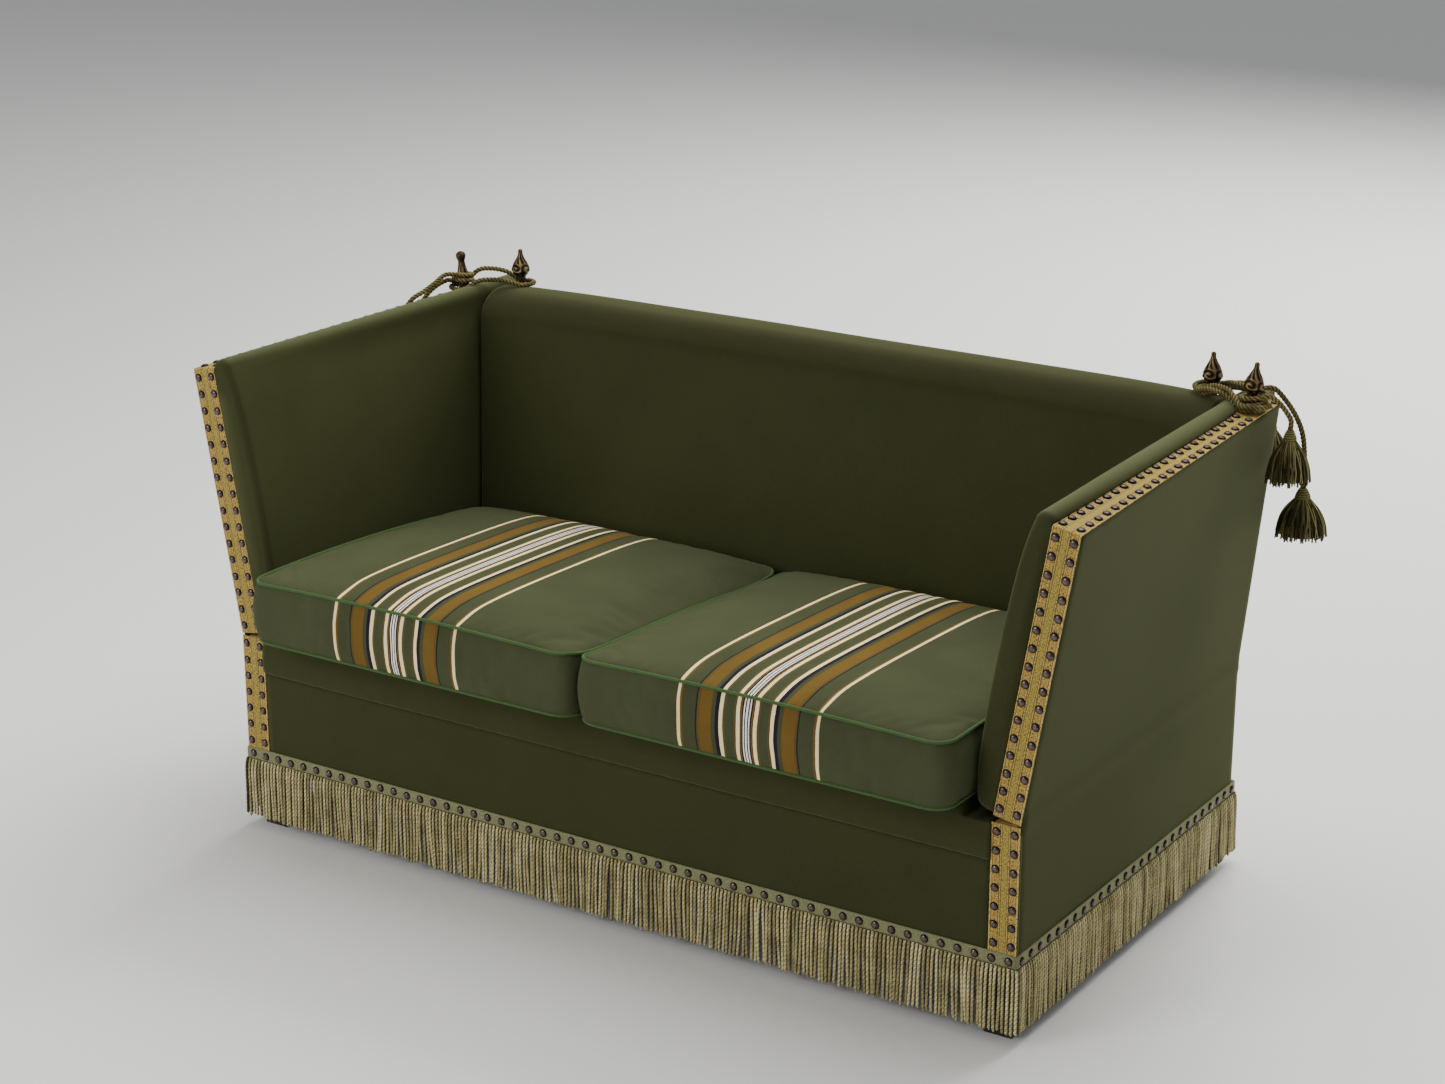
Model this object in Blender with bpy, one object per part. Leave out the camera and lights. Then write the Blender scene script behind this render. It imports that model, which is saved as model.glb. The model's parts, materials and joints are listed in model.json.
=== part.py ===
"""Drop arm sofa: two hinged arms tied up by cords, two loose seat cushions, a fringe to the floor.

Metres, +Z up. The front faces -Y, and left and right are as seen from the front (left is -X).
The origin is on the floor under the centre of the sofa's bounding box. Runs in Blender 4.5.
"""

import math

import bmesh
import bpy
from mathutils import Vector

# Overall sizes
BASE_WIDTH = 1.520
BASE_DEPTH = 0.800
CUSHION_OVERHANG = 0.080
HINGE_HEIGHT = 0.361
BASE_BOTTOM = 0.115
DECK_ABOVE_HINGE = 0.0235
BACK_ABOVE_ARMS = 0.0105

# Clearances: between touching pieces, and between faces that twist with the arm
GAP = 0.0003
TWIST_GAP = 0.0006

# Arms: length up the arm, and how far the top leans out at the front and at the back
ARM_LENGTH = 0.470
ARM_SPLAY_FRONT = 0.079
ARM_SPLAY_BACK = 0.046
ARM_CELLS = 16
PANEL_ROWS = 4
HINGE_LINE_GAP = 0.0014
BASE_LINE_GAP = 0.0020
AXIS_INSET = 0.002

# Covers are wool over wadding
COVER_THICKNESS = 0.0075
OUTSIDE_BACK_THICKNESS = 0.0315

# Arm frame, a board frame of two rails and two stiles
ARM_FRAME_THICKNESS = 0.038
ARM_RAIL_HEIGHT = 0.045
ARM_STILE_DEPTH = 0.045

# Arm pad: how far it swells into the seat, at its front and back end
PAD_SWELL_FRONT = 0.048
PAD_SWELL_BACK = 0.024
PAD_TOP_RISE = 0.012
PAD_ROLL = 0.018
PAD_ROLL_FRONT = 0.031
PAD_ROLL_BACK = 0.022
PAD_END_ROUND = 0.012

# Braid
BRAID_WIDTH = 0.048
BRAID_THICKNESS = 0.0015

# Base frame
RAIL_THICKNESS = 0.038
BACK_RAIL_THICKNESS = 0.040
CENTRE_RAIL_WIDTH = 0.040
CENTRE_RAIL_HEIGHT = 0.045
LIP_HEIGHT = 0.0895
LIP_DEPTH = 0.100
LIP_BULGE = 0.008
LIP_ROLL = 0.034
WING_HEIGHT = 0.0265
DECK_SIDE_CLEARANCE = 0.006
DECK_THICKNESS = 0.085

# Feet
FOOT_WIDTH = 0.060
FOOT_INSET = 0.010
FOOT_TAPER = 0.006

# Webbing, springs and bottom cloth
STRAP_WIDTH = 0.050
STRAP_THICKNESS = 0.0022
STRAPS_ACROSS = 4
STRAPS_ALONG = 7
STRAP_LAP = 0.022
CLOTH_THICKNESS = 0.001
CLOTH_MARGIN = 0.020
SPRING_COLUMNS = 4
SPRING_ROWS = 2
SPRING_RADIUS = 0.045
SPRING_WAIST_SHARE = 0.62
SPRING_TURNS = 4
SPRING_TURN_POINTS = 8
SPRING_WIRE = 0.004

# Back frame
POST_WIDTH = 0.044
POST_DEPTH = 0.040
POST_FOOT_INSET = 0.100
POST_HEAD_INSET = 0.0565
POST_DROP = 0.0415
BACK_RAIL_HEIGHT = 0.042
TOP_RAIL_DROP = 0.0175
TACKING_RAIL_RISE = 0.0455

# Back: how thick it is at the deck and at the top
BACK_THICKNESS_AT_DECK = 0.212
BACK_THICKNESS_AT_TOP = 0.148
BACK_CROWN = 0.026
BACK_ROLL_RISE = 0.052
BACK_SIDE_CLEARANCE = 0.003
BACK_CELLS = 12

# Finials: height and greatest radius
FINIAL_HEIGHT = 0.081
FINIAL_RADIUS = 0.0172
BALL_FINIAL_HEIGHT = 0.075
BALL_FINIAL_RADIUS = 0.0170
FINIAL_SIDES = 12
FINIAL_SINK = 0.012
ARM_FINIAL_FROM_BACK = {"left": 0.117, "right": 0.087}

# Cushions
CUSHION_SIDE_SPACE = 0.082
CUSHION_BACK_SPACE = 0.236
CUSHION_SPACING = 0.006
BOXING_HEIGHT = 0.104
PIPING_RADIUS = 0.0045
CUSHION_CROWN = 0.034
CUSHION_CORNER_RADIUS = 0.042
CUSHION_CORNER_STEPS = 4
CUSHION_SIDE_STEPS = 5
CUSHION_EDGE_BOW = 0.006
BOXING_BULGE = 0.006
CUSHION_LIFT = 0.25

# Bullion fringe
TAPE_TOP = 0.150
TAPE_HEIGHT = 0.022
TAPE_THICKNESS = 0.002
FRINGE_BOTTOM = 0.018
FRINGE_OUT = 0.0103
FLUTE_PITCH = 0.020
FLUTE_DEPTH = 0.005

# Hinges: one long rolled hinge to an arm
HINGE_MARGIN = 0.035
HINGE_KNUCKLES = 7
LEAF_WIDTH = 0.034
KNUCKLE_RADIUS = 0.0035
PIN_RADIUS = 0.0018
PIN_CLEARANCE = 0.0003
KNUCKLE_STEPS = 9
LEAF_WRAP_DEGREES = 285.0
PIN_SIDES = 12

# Cords: a loop between the finials, and a doubled tail whose ends carry tassels
CORD_DIAMETER = 0.0095
CORD_STEP_SHARE = 1.2
LOOP_RADIUS = 0.0245
LOOP_OVER_BACK = 0.0052
LOOP_OVER_BRAID = 0.0080
LOOP_REAR_RISE = {"left": 0.0250, "right": 0.0145}
LOOP_FRONT_RISE = {"left": 0.0150, "right": 0.0140}
HITCH_RADIUS = 0.0170
HITCH_HEIGHT = 0.0156
HITCH_POINTS = 18
TASSEL_SIDES = 12

OUTER_X = BASE_WIDTH / 2
DECK_HEIGHT = HINGE_HEIGHT + DECK_ABOVE_HINGE
BACK_HEIGHT = HINGE_HEIGHT + ARM_LENGTH + BACK_ABOVE_ARMS
POST_TOP = BACK_HEIGHT - POST_DROP
POST_FOOT_X = OUTER_X - POST_FOOT_INSET
POST_HEAD_X = OUTER_X - POST_HEAD_INSET
TOP_RAIL_TOP = BACK_HEIGHT - TOP_RAIL_DROP
TACKING_RAIL_BOTTOM = DECK_HEIGHT + TACKING_RAIL_RISE
LIP_SEAM_HEIGHT = DECK_HEIGHT - LIP_HEIGHT
BACK_FACE_AT_DECK = BASE_DEPTH - BACK_THICKNESS_AT_DECK
BACK_FACE_AT_TOP = BASE_DEPTH - BACK_THICKNESS_AT_TOP
CUSHION_PITCH = OUTER_X - CUSHION_SIDE_SPACE
CUSHION_WIDTH = CUSHION_PITCH - CUSHION_SPACING
CUSHION_DEPTH = BASE_DEPTH + CUSHION_OVERHANG - CUSHION_BACK_SPACE
AXIS_X = OUTER_X - AXIS_INSET
FRONT_Y = CUSHION_OVERHANG - (CUSHION_OVERHANG + BASE_DEPTH + FRINGE_OUT) / 2
BACK_Y = FRONT_Y + BASE_DEPTH
ARM_BACK_Y = BACK_Y - BRAID_THICKNESS
RETURN_FRONT_Y = ARM_BACK_Y - COVER_THICKNESS
FRAME_OUT = COVER_THICKNESS + TWIST_GAP
FRAME_IN = FRAME_OUT + ARM_FRAME_THICKNESS
PAD_OUT = FRAME_IN + TWIST_GAP
RAIL_OUT_X = OUTER_X - COVER_THICKNESS - GAP
RAIL_IN_X = RAIL_OUT_X - RAIL_THICKNESS
RAIL_TOP = HINGE_HEIGHT - KNUCKLE_RADIUS - GAP
ARM_RAIL_BOTTOM = KNUCKLE_RADIUS + GAP - FRAME_OUT * ARM_SPLAY_BACK / ARM_LENGTH
COVER_EDGE = KNUCKLE_RADIUS + HINGE_LINE_GAP
OUTSIDE_BACK_Y = BACK_Y - OUTSIDE_BACK_THICKNESS
POST_BACK_Y = OUTSIDE_BACK_Y - GAP
POST_FRONT_Y = POST_BACK_Y - POST_DEPTH
BACK_FINIAL_Y = (POST_FRONT_Y + POST_BACK_Y) / 2
WEBBING_TOP = BASE_BOTTOM - GAP
LEFT_AND_RIGHT = (("left", -1), ("right", 1))

MATERIALS = {
    "olive_wool": ((0.052, 0.058, 0.026), 0.95, 0.0),
    "cushion_wool": ((0.070, 0.082, 0.040), 0.95, 0.0),
    "gold_braid": ((0.330, 0.220, 0.050), 0.80, 0.0),
    "bronze": ((0.150, 0.105, 0.050), 0.40, 0.9),
    "bullion": ((0.230, 0.210, 0.110), 0.90, 0.0),
    "cord": ((0.110, 0.095, 0.035), 0.85, 0.0),
    "beech": ((0.480, 0.300, 0.150), 0.60, 0.0),
    "dark_wood": ((0.020, 0.010, 0.008), 0.45, 0.0),
    "jute": ((0.420, 0.320, 0.180), 0.90, 0.0),
    "black_cloth": ((0.010, 0.010, 0.012), 0.95, 0.0),
    "spring_steel": ((0.350, 0.340, 0.330), 0.35, 1.0),
    "hinge_steel": ((0.300, 0.300, 0.310), 0.40, 1.0),
}


def clear_scene():
    for item in list(bpy.data.objects):
        bpy.data.objects.remove(item, do_unlink=True)


def make_materials():
    made = {}
    for name, (colour, roughness, metallic) in MATERIALS.items():
        material = bpy.data.materials.new(name)
        material.use_nodes = True
        shader = material.node_tree.nodes["Principled BSDF"]
        shader.inputs["Base Color"].default_value = (*colour, 1.0)
        shader.inputs["Roughness"].default_value = roughness
        shader.inputs["Metallic"].default_value = metallic
        material.diffuse_color = (*colour, 1.0)
        made[name] = material
    return made


def spread(low, high, cells):
    """Places from low to high, with the given number of equal cells between them."""
    return [low + (high - low) * i / cells for i in range(cells + 1)]


def between(low, high, share):
    return low + (high - low) * share


def add_object(name, data, material, parent=None):
    item = bpy.data.objects.new(name, data)
    bpy.context.scene.collection.objects.link(item)
    data.materials.append(material)
    item.parent = parent
    return item


def add_mesh(name, bm, material, parent=None, smooth_degrees=None):
    """Turn the built shapes into a named object, with its origin on its parent."""
    bmesh.ops.recalc_face_normals(bm, faces=bm.faces)
    if parent:
        bmesh.ops.translate(bm, verts=bm.verts, vec=-parent.location)
    mesh = bpy.data.meshes.new(name)
    bm.to_mesh(mesh)
    bm.free()
    if smooth_degrees:
        mesh.shade_smooth()
        mesh.set_sharp_from_angle(angle=math.radians(smooth_degrees))
    return add_object(name, mesh, material, parent)


def add_rings(bm, rings):
    """Skin closed rings of points in order, every quad cut along the same diagonal."""
    made = [[bm.verts.new(point) for point in ring] for ring in rings]
    count = len(made[0])
    for first, second in zip(made, made[1:]):
        for i in range(count):
            j = (i + 1) % count
            bm.faces.new((first[i], second[i], second[j]))
            bm.faces.new((first[i], second[j], first[j]))
    bm.faces.new(made[0])
    bm.faces.new(list(reversed(made[-1])))


def add_prism(bm, outline, to_point, low, high):
    """Extrude a flat outline from low to high, with to_point placing each corner."""
    ends = [[bm.verts.new(to_point(a, b, level)) for a, b in outline] for level in (low, high)]
    for i in range(len(outline)):
        j = (i + 1) % len(outline)
        bm.faces.new((ends[0][i], ends[1][i], ends[1][j], ends[0][j]))
    bm.faces.new(ends[0])
    bm.faces.new(list(reversed(ends[1])))


def add_slab(bm, columns, rows, filled, place):
    """A slab of grid cells with holes where cells are left out. place gives each corner."""
    made = {}

    def corner(i, j, face):
        if (i, j, face) not in made:
            made[i, j, face] = bm.verts.new(place(i, j, face))
        return made[i, j, face]

    cells = {(i, j) for i in range(columns) for j in range(rows) if filled(i, j)}
    for i, j in cells:
        for face in (0, 1):
            bm.faces.new([corner(a, b, face) for a, b in ((i, j), (i + 1, j), (i + 1, j + 1), (i, j + 1))])
        walls = (((i, j - 1), (i, j), (i + 1, j)), ((i + 1, j), (i + 1, j), (i + 1, j + 1)),
                 ((i, j + 1), (i + 1, j + 1), (i, j + 1)), ((i - 1, j), (i, j + 1), (i, j)))
        for neighbour, start, end in walls:
            if neighbour not in cells:
                bm.faces.new([corner(*start, 0), corner(*end, 0), corner(*end, 1), corner(*start, 1)])


def along_y(x, z, y):
    return (x, y, z)


def along_z(x, y, z):
    return (x, y, z)


def add_box(bm, x_range, y_range, z_range):
    (x0, x1), (y0, y1) = x_range, y_range
    add_prism(bm, [(x0, y0), (x1, y0), (x1, y1), (x0, y1)], along_z, *z_range)


def make_box(name, material, x_range, y_range, z_range, parent=None):
    bm = bmesh.new()
    add_box(bm, x_range, y_range, z_range)
    return add_mesh(name, bm, material, parent)


def sided(side, near, far):
    """An x range given for the right side, put on the side asked for."""
    return tuple(sorted((side * near, side * far)))


def add_turned(bm, centre, up, profile_shares, radius, height, sides):
    """A turned piece: profile shares are (radius share, height share) from foot to tip."""
    up = up.normalized()
    across = up.orthogonal().normalized()
    around = up.cross(across)
    rings = []
    for radius_share, height_share in profile_shares:
        ring = []
        for i in range(sides):
            angle = math.tau * i / sides
            out = across * math.cos(angle) + around * math.sin(angle)
            ring.append(centre + up * height * height_share + out * radius * radius_share)
        rings.append(ring)
    add_rings(bm, rings)


def smooth_route(points, step):
    """Points at an even step along a smooth curve through the given points."""
    points = [Vector(point) for point in points]
    padded = [2 * points[0] - points[1], *points, 2 * points[-1] - points[-2]]
    fine = []
    pieces = 12
    for a, b, c, d in zip(padded, padded[1:], padded[2:], padded[3:]):
        for i in range(pieces):
            t = i / pieces
            fine.append(((2 * b) + (c - a) * t + (2 * a - 5 * b + 4 * c - d) * t ** 2
                         + (3 * b - a - 3 * c + d) * t ** 3) / 2)
    fine.append(points[-1])
    lengths = [0.0]
    for a, b in zip(fine, fine[1:]):
        lengths.append(lengths[-1] + (b - a).length)
    count = max(2, round(lengths[-1] / step))
    route = []
    at = 0
    for i in range(count + 1):
        target = lengths[-1] * i / count
        while at < len(lengths) - 2 and lengths[at + 1] < target:
            at += 1
        part = (target - lengths[at]) / (lengths[at + 1] - lengths[at])
        route.append(fine[at].lerp(fine[at + 1], min(1.0, part)))
    return route


def make_tube(name, points, diameter, resolution, material, parent=None, closed=False):
    """A round tube along the points, with flat filled ends unless it is a closed loop."""
    curve = bpy.data.curves.new(name, "CURVE")
    curve.dimensions = "3D"
    curve.bevel_depth = diameter / 2
    curve.bevel_resolution = resolution
    curve.use_fill_caps = True
    offset = parent.location if parent else Vector((0, 0, 0))
    spline = curve.splines.new("POLY")
    spline.points.add(len(points) - 1)
    spline.use_cyclic_u = closed
    for slot, point in zip(spline.points, points):
        slot.co = (*(point - offset), 1.0)
    return add_object(name, curve, material, parent)


def cut_with(item, cutter):
    modifier = item.modifiers.new("cut", "BOOLEAN")
    modifier.operation = "DIFFERENCE"
    modifier.object = cutter
    cutter.hide_render = True
    cutter.display_type = "WIRE"


# The arms

def arm_angle(y):
    """Lean of the arm at y. It is steeper at the front, so the arm has a slight twist."""
    splay = between(ARM_SPLAY_FRONT, ARM_SPLAY_BACK, (y - FRONT_Y) / BASE_DEPTH)
    return math.asin(splay / ARM_LENGTH)


def arm_point(side, inward, y, up):
    """A point by its distance in from the arm's outside face and up from the hinge line."""
    angle = arm_angle(y)
    x = OUTER_X + up * math.sin(angle) - inward * math.cos(angle)
    z = HINGE_HEIGHT + up * math.cos(angle) + inward * math.sin(angle)
    return Vector((side * x, y, z))


def arm_up(side, y):
    angle = arm_angle(y)
    return Vector((side * math.sin(angle), 0, math.cos(angle)))


def arm_stations(low, high):
    cells = max(1, math.ceil(ARM_CELLS * (high - low) / BASE_DEPTH))
    return spread(low, high, cells)


def panel_section(outer, inner, low, high, rows):
    """A flat panel's section, with rows of points on both faces."""
    levels = spread(low, high, rows)
    return [(outer, up) for up in levels] + [(inner, up) for up in reversed(levels)]


def make_arm_panel(name, side, outer, inner, low, high, rows, y_range, material, parent):
    bm = bmesh.new()
    section = panel_section(outer, inner, low, high, rows)
    add_rings(bm, [[arm_point(side, a, y, up) for a, up in section] for y in arm_stations(*y_range)])
    return add_mesh(name, bm, material, parent)


def make_arm_frame(word, side, materials, hinge):
    back = RETURN_FRONT_Y - TWIST_GAP
    rail_low = ARM_RAIL_BOTTOM + ARM_RAIL_HEIGHT
    rail_high = ARM_LENGTH - ARM_RAIL_HEIGHT
    spans = {
        "bottom_rail": (ARM_RAIL_BOTTOM, rail_low, 1, (FRONT_Y, back)),
        "top_rail": (rail_high, ARM_LENGTH, 1, (FRONT_Y, back)),
        "front_stile": (rail_low + GAP, rail_high - GAP, PANEL_ROWS, (FRONT_Y, FRONT_Y + ARM_STILE_DEPTH)),
        "back_stile": (rail_low + GAP, rail_high - GAP, PANEL_ROWS, (back - ARM_STILE_DEPTH, back)),
    }
    for piece, (low, high, rows, y_range) in spans.items():
        make_arm_panel(f"arm_{word}_{piece}", side, FRAME_OUT, FRAME_IN, low, high, rows, y_range,
                       materials["beech"], hinge)


def make_arm_cover(word, side, materials, hinge):
    """The outside fabric, with a return that closes the arm's back end."""
    thin = panel_section(0.0, COVER_THICKNESS, COVER_EDGE, ARM_LENGTH, PANEL_ROWS)
    wide = panel_section(0.0, FRAME_IN, COVER_EDGE, ARM_LENGTH, PANEL_ROWS)
    stations = [(y, thin) for y in arm_stations(FRONT_Y, RETURN_FRONT_Y)]
    stations += [(RETURN_FRONT_Y, wide), (ARM_BACK_Y, wide)]
    bm = bmesh.new()
    add_rings(bm, [[arm_point(side, a, y, up) for a, up in section] for y, section in stations])
    add_mesh(f"arm_{word}_cover", bm, materials["olive_wool"], hinge)


def pad_swell(y):
    return between(PAD_SWELL_FRONT, PAD_SWELL_BACK, min(1.0, (y - FRONT_Y) / (BASE_DEPTH * 0.75)))


def pad_section(y, shrink):
    """The pad's section: flat against the frame, swelling into the seat, rolled at the top."""
    swell_shares = ((0.00, 0.30), (0.012, 0.62), (0.05, 0.76), (0.16, 0.92), (0.38, 1.00),
                    (0.62, 0.99), (0.82, 0.90), (0.93, 0.78))
    low = HINGE_LINE_GAP + shrink
    high = ARM_LENGTH - shrink
    swell = pad_swell(y) - shrink
    inner = [(PAD_OUT + swell * share, between(low, high, level)) for level, share in swell_shares]
    reach = between(PAD_ROLL_FRONT, PAD_ROLL_BACK, ((y - FRONT_Y) / BASE_DEPTH) ** 2) - shrink
    fall = PAD_ROLL * 0.4
    roll = []
    for step in range(7):
        angle = math.pi * step / 6
        roll.append((PAD_OUT + reach * (1 + math.cos(angle)) / 2,
                     high - fall + (fall + PAD_TOP_RISE) * math.sin(angle)))
    back = [(PAD_OUT, up) for up in reversed(spread(low, high - PAD_ROLL, PANEL_ROWS))]
    return inner + roll + back


def make_arm_pad(word, side, materials, hinge):
    front, back = FRONT_Y - BRAID_THICKNESS, ARM_BACK_Y
    stations = [(front, PAD_END_ROUND), (front + PAD_END_ROUND * 0.3, PAD_END_ROUND * 0.35),
                (front + PAD_END_ROUND, 0.0)]
    stations += [(y, 0.0) for y in arm_stations(front + PAD_END_ROUND, back - PAD_END_ROUND)[1:]]
    stations += [(back, PAD_END_ROUND * 0.5)]
    bm = bmesh.new()
    add_rings(bm, [[arm_point(side, a, y, up) for a, up in pad_section(y, shrink)]
                   for y, shrink in stations])
    add_mesh(f"arm_{word}_pad", bm, materials["olive_wool"], hinge, smooth_degrees=50)


def make_arm_braid(word, side, materials, hinge):
    """Flat braid up the arm's front edge and back along its top."""
    near, far = GAP, GAP + BRAID_THICKNESS
    path = [(FRONT_Y - near, up, FRONT_Y - far, up)
            for up in spread(HINGE_LINE_GAP, ARM_LENGTH - ARM_RAIL_HEIGHT, PANEL_ROWS)]
    path.append((FRONT_Y - near, ARM_LENGTH + near, FRONT_Y - far, ARM_LENGTH + far))
    path += [(y, ARM_LENGTH + near, y, ARM_LENGTH + far) for y in arm_stations(FRONT_Y, ARM_BACK_Y)[1:]]
    edge, inside = GAP, BRAID_WIDTH - TWIST_GAP - GAP
    edge_inside = min(inside, PAD_OUT - GAP)
    rings = []
    for y_near, up_near, y_far, up_far in path:
        rings.append([arm_point(side, edge, y_near, up_near), arm_point(side, edge_inside, y_near, up_near),
                      arm_point(side, edge_inside, y_far, up_far), arm_point(side, edge, y_far, up_far)])
    bm = bmesh.new()
    add_rings(bm, rings)
    add_mesh(f"arm_{word}_braid", bm, materials["gold_braid"], hinge)


# The base

def make_base_frame(materials):
    beech = materials["beech"]
    inner = RAIL_IN_X - GAP
    front = FRONT_Y + COVER_THICKNESS + GAP
    back_rail_front = POST_BACK_Y - BACK_RAIL_THICKNESS
    for word, side in LEFT_AND_RIGHT:
        make_box(f"seat_end_rail_{word}", beech, sided(side, RAIL_IN_X, RAIL_OUT_X),
                 (front, POST_BACK_Y), (BASE_BOTTOM, RAIL_TOP))
    make_box("seat_front_rail", beech, (-inner, inner), (front, front + RAIL_THICKNESS),
             (BASE_BOTTOM, LIP_SEAM_HEIGHT - GAP))
    make_box("seat_back_rail", beech, (-inner, inner), (back_rail_front, POST_BACK_Y),
             (BASE_BOTTOM, RAIL_TOP))
    half = CENTRE_RAIL_WIDTH / 2
    make_box("seat_centre_rail", beech, (-half, half),
             (front + RAIL_THICKNESS + GAP, back_rail_front - GAP),
             (BASE_BOTTOM, BASE_BOTTOM + CENTRE_RAIL_HEIGHT))


def make_feet(materials):
    """Square blocks that narrow a little to the floor, one under each corner."""
    front = FRONT_Y + FOOT_INSET + COVER_THICKNESS / 2
    back = POST_BACK_Y
    outer = RAIL_OUT_X
    for end, y0, y1 in (("front", front, front + FOOT_WIDTH), ("back", back - FOOT_WIDTH, back)):
        for word, side in LEFT_AND_RIGHT:
            x0, x1 = sided(side, outer - FOOT_WIDTH, outer)
            top = [(x0, y0), (x1, y0), (x1, y1), (x0, y1)]
            low = [(x0 + FOOT_TAPER, y0 + FOOT_TAPER), (x1 - FOOT_TAPER, y0 + FOOT_TAPER),
                   (x1 - FOOT_TAPER, y1 - FOOT_TAPER), (x0 + FOOT_TAPER, y1 - FOOT_TAPER)]
            rings = [[Vector((x, y, z)) for x, y in ring]
                     for ring, z in ((low, 0.0), (top, BASE_BOTTOM / 2), (top, BASE_BOTTOM - GAP))]
            bm = bmesh.new()
            add_rings(bm, rings)
            add_mesh(f"foot_{end}_{word}", bm, materials["dark_wood"])


def strap_edges(low, high, straps):
    """Edges from low to high, with straps and open spaces by turns and a strap at each end."""
    edges = []
    for middle in spread(low + STRAP_WIDTH / 2, high - STRAP_WIDTH / 2, straps - 1):
        edges += [middle - STRAP_WIDTH / 2, middle + STRAP_WIDTH / 2]
    return edges


def make_webbing(materials):
    """Jute straps laced across and front to back, tacked under the rails."""
    clear = FOOT_WIDTH + STRAP_LAP / 2
    reach_x = RAIL_OUT_X - STRAP_LAP / 2
    front, back = FRONT_Y + COVER_THICKNESS + STRAP_LAP / 2, POST_BACK_Y - STRAP_LAP / 2
    xs = [-reach_x, *strap_edges(-reach_x + clear, reach_x - clear, STRAPS_ALONG), reach_x]
    ys = [front, *strap_edges(front + clear, back - clear, STRAPS_ACROSS), back]
    zs = (WEBBING_TOP - STRAP_THICKNESS, WEBBING_TOP)
    bm = bmesh.new()
    add_slab(bm, len(xs) - 1, len(ys) - 1, lambda i, j: i % 2 == 1 or j % 2 == 1,
             lambda i, j, face: (xs[i], ys[j], zs[face]))
    add_mesh("seat_webbing", bm, materials["jute"])


def make_bottom_cloth(materials):
    """Black bottom cloth under the webbing, notched round the feet."""
    top = WEBBING_TOP - STRAP_THICKNESS - GAP
    x_out = RAIL_OUT_X - CLOTH_MARGIN / 2
    x_in = RAIL_OUT_X - FOOT_WIDTH - CLOTH_MARGIN / 2
    front = FRONT_Y + COVER_THICKNESS + CLOTH_MARGIN / 2
    back = POST_BACK_Y - CLOTH_MARGIN / 2
    front_in = FRONT_Y + FOOT_INSET + FOOT_WIDTH + CLOTH_MARGIN
    back_in = POST_BACK_Y - FOOT_WIDTH - CLOTH_MARGIN / 2
    outline = [(-x_in, front), (x_in, front), (x_in, front_in), (x_out, front_in), (x_out, back_in),
               (x_in, back_in), (x_in, back), (-x_in, back), (-x_in, back_in), (-x_out, back_in),
               (-x_out, front_in), (-x_in, front_in)]
    bm = bmesh.new()
    add_prism(bm, outline, along_z, top - CLOTH_THICKNESS, top)
    add_mesh("bottom_cloth", bm, materials["black_cloth"])


def make_springs(materials):
    """Hourglass springs on the webbing, coiled from one wire that links them top and bottom."""
    low = WEBBING_TOP + GAP + SPRING_WIRE / 2
    high = DECK_HEIGHT - DECK_THICKNESS - GAP - SPRING_WIRE / 2
    front = FRONT_Y + COVER_THICKNESS + RAIL_THICKNESS
    back = POST_BACK_Y - BACK_RAIL_THICKNESS
    steps = SPRING_TURNS * SPRING_TURN_POINTS
    places = []
    for row in range(SPRING_ROWS):
        y = between(front, back, (row + 0.5) / SPRING_ROWS)
        xs = [between(-RAIL_IN_X, RAIL_IN_X, (column + 0.5) / SPRING_COLUMNS)
              for column in range(SPRING_COLUMNS)]
        places += [(x, y) for x in (reversed(xs) if row % 2 else xs)]
    run = []
    for number, (x, y) in enumerate(places):
        start, end = (low, high) if number % 2 else (high, low)
        for i in range(steps + 1):
            share = i / steps
            waist = between(SPRING_WAIST_SHARE, 1.0, abs(2 * share - 1))
            angle = math.tau * i / SPRING_TURN_POINTS
            run.append(Vector((x + SPRING_RADIUS * waist * math.cos(angle),
                               y + SPRING_RADIUS * waist * math.sin(angle), between(start, end, share))))
    make_tube("seat_springs", run, SPRING_WIRE, 0, materials["spring_steel"])


def make_deck(materials):
    """The stuffed platform on the springs. It narrows above the hinge line, between the pads."""
    wide = RAIL_IN_X - GAP
    narrow = arm_inner_x(FRONT_Y, 0.0) - DECK_SIDE_CLEARANCE
    low, step, top = DECK_HEIGHT - DECK_THICKNESS, DECK_HEIGHT - WING_HEIGHT, DECK_HEIGHT
    outline = [(-wide, low), (wide, low), (wide, step), (narrow, step), (narrow, top), (-narrow, top),
               (-narrow, step), (-wide, step)]
    bm = bmesh.new()
    add_prism(bm, outline, along_y, FRONT_Y + LIP_DEPTH + GAP, POST_BACK_Y - BACK_RAIL_THICKNESS - GAP)
    add_mesh("seat_deck", bm, materials["olive_wool"])


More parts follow.
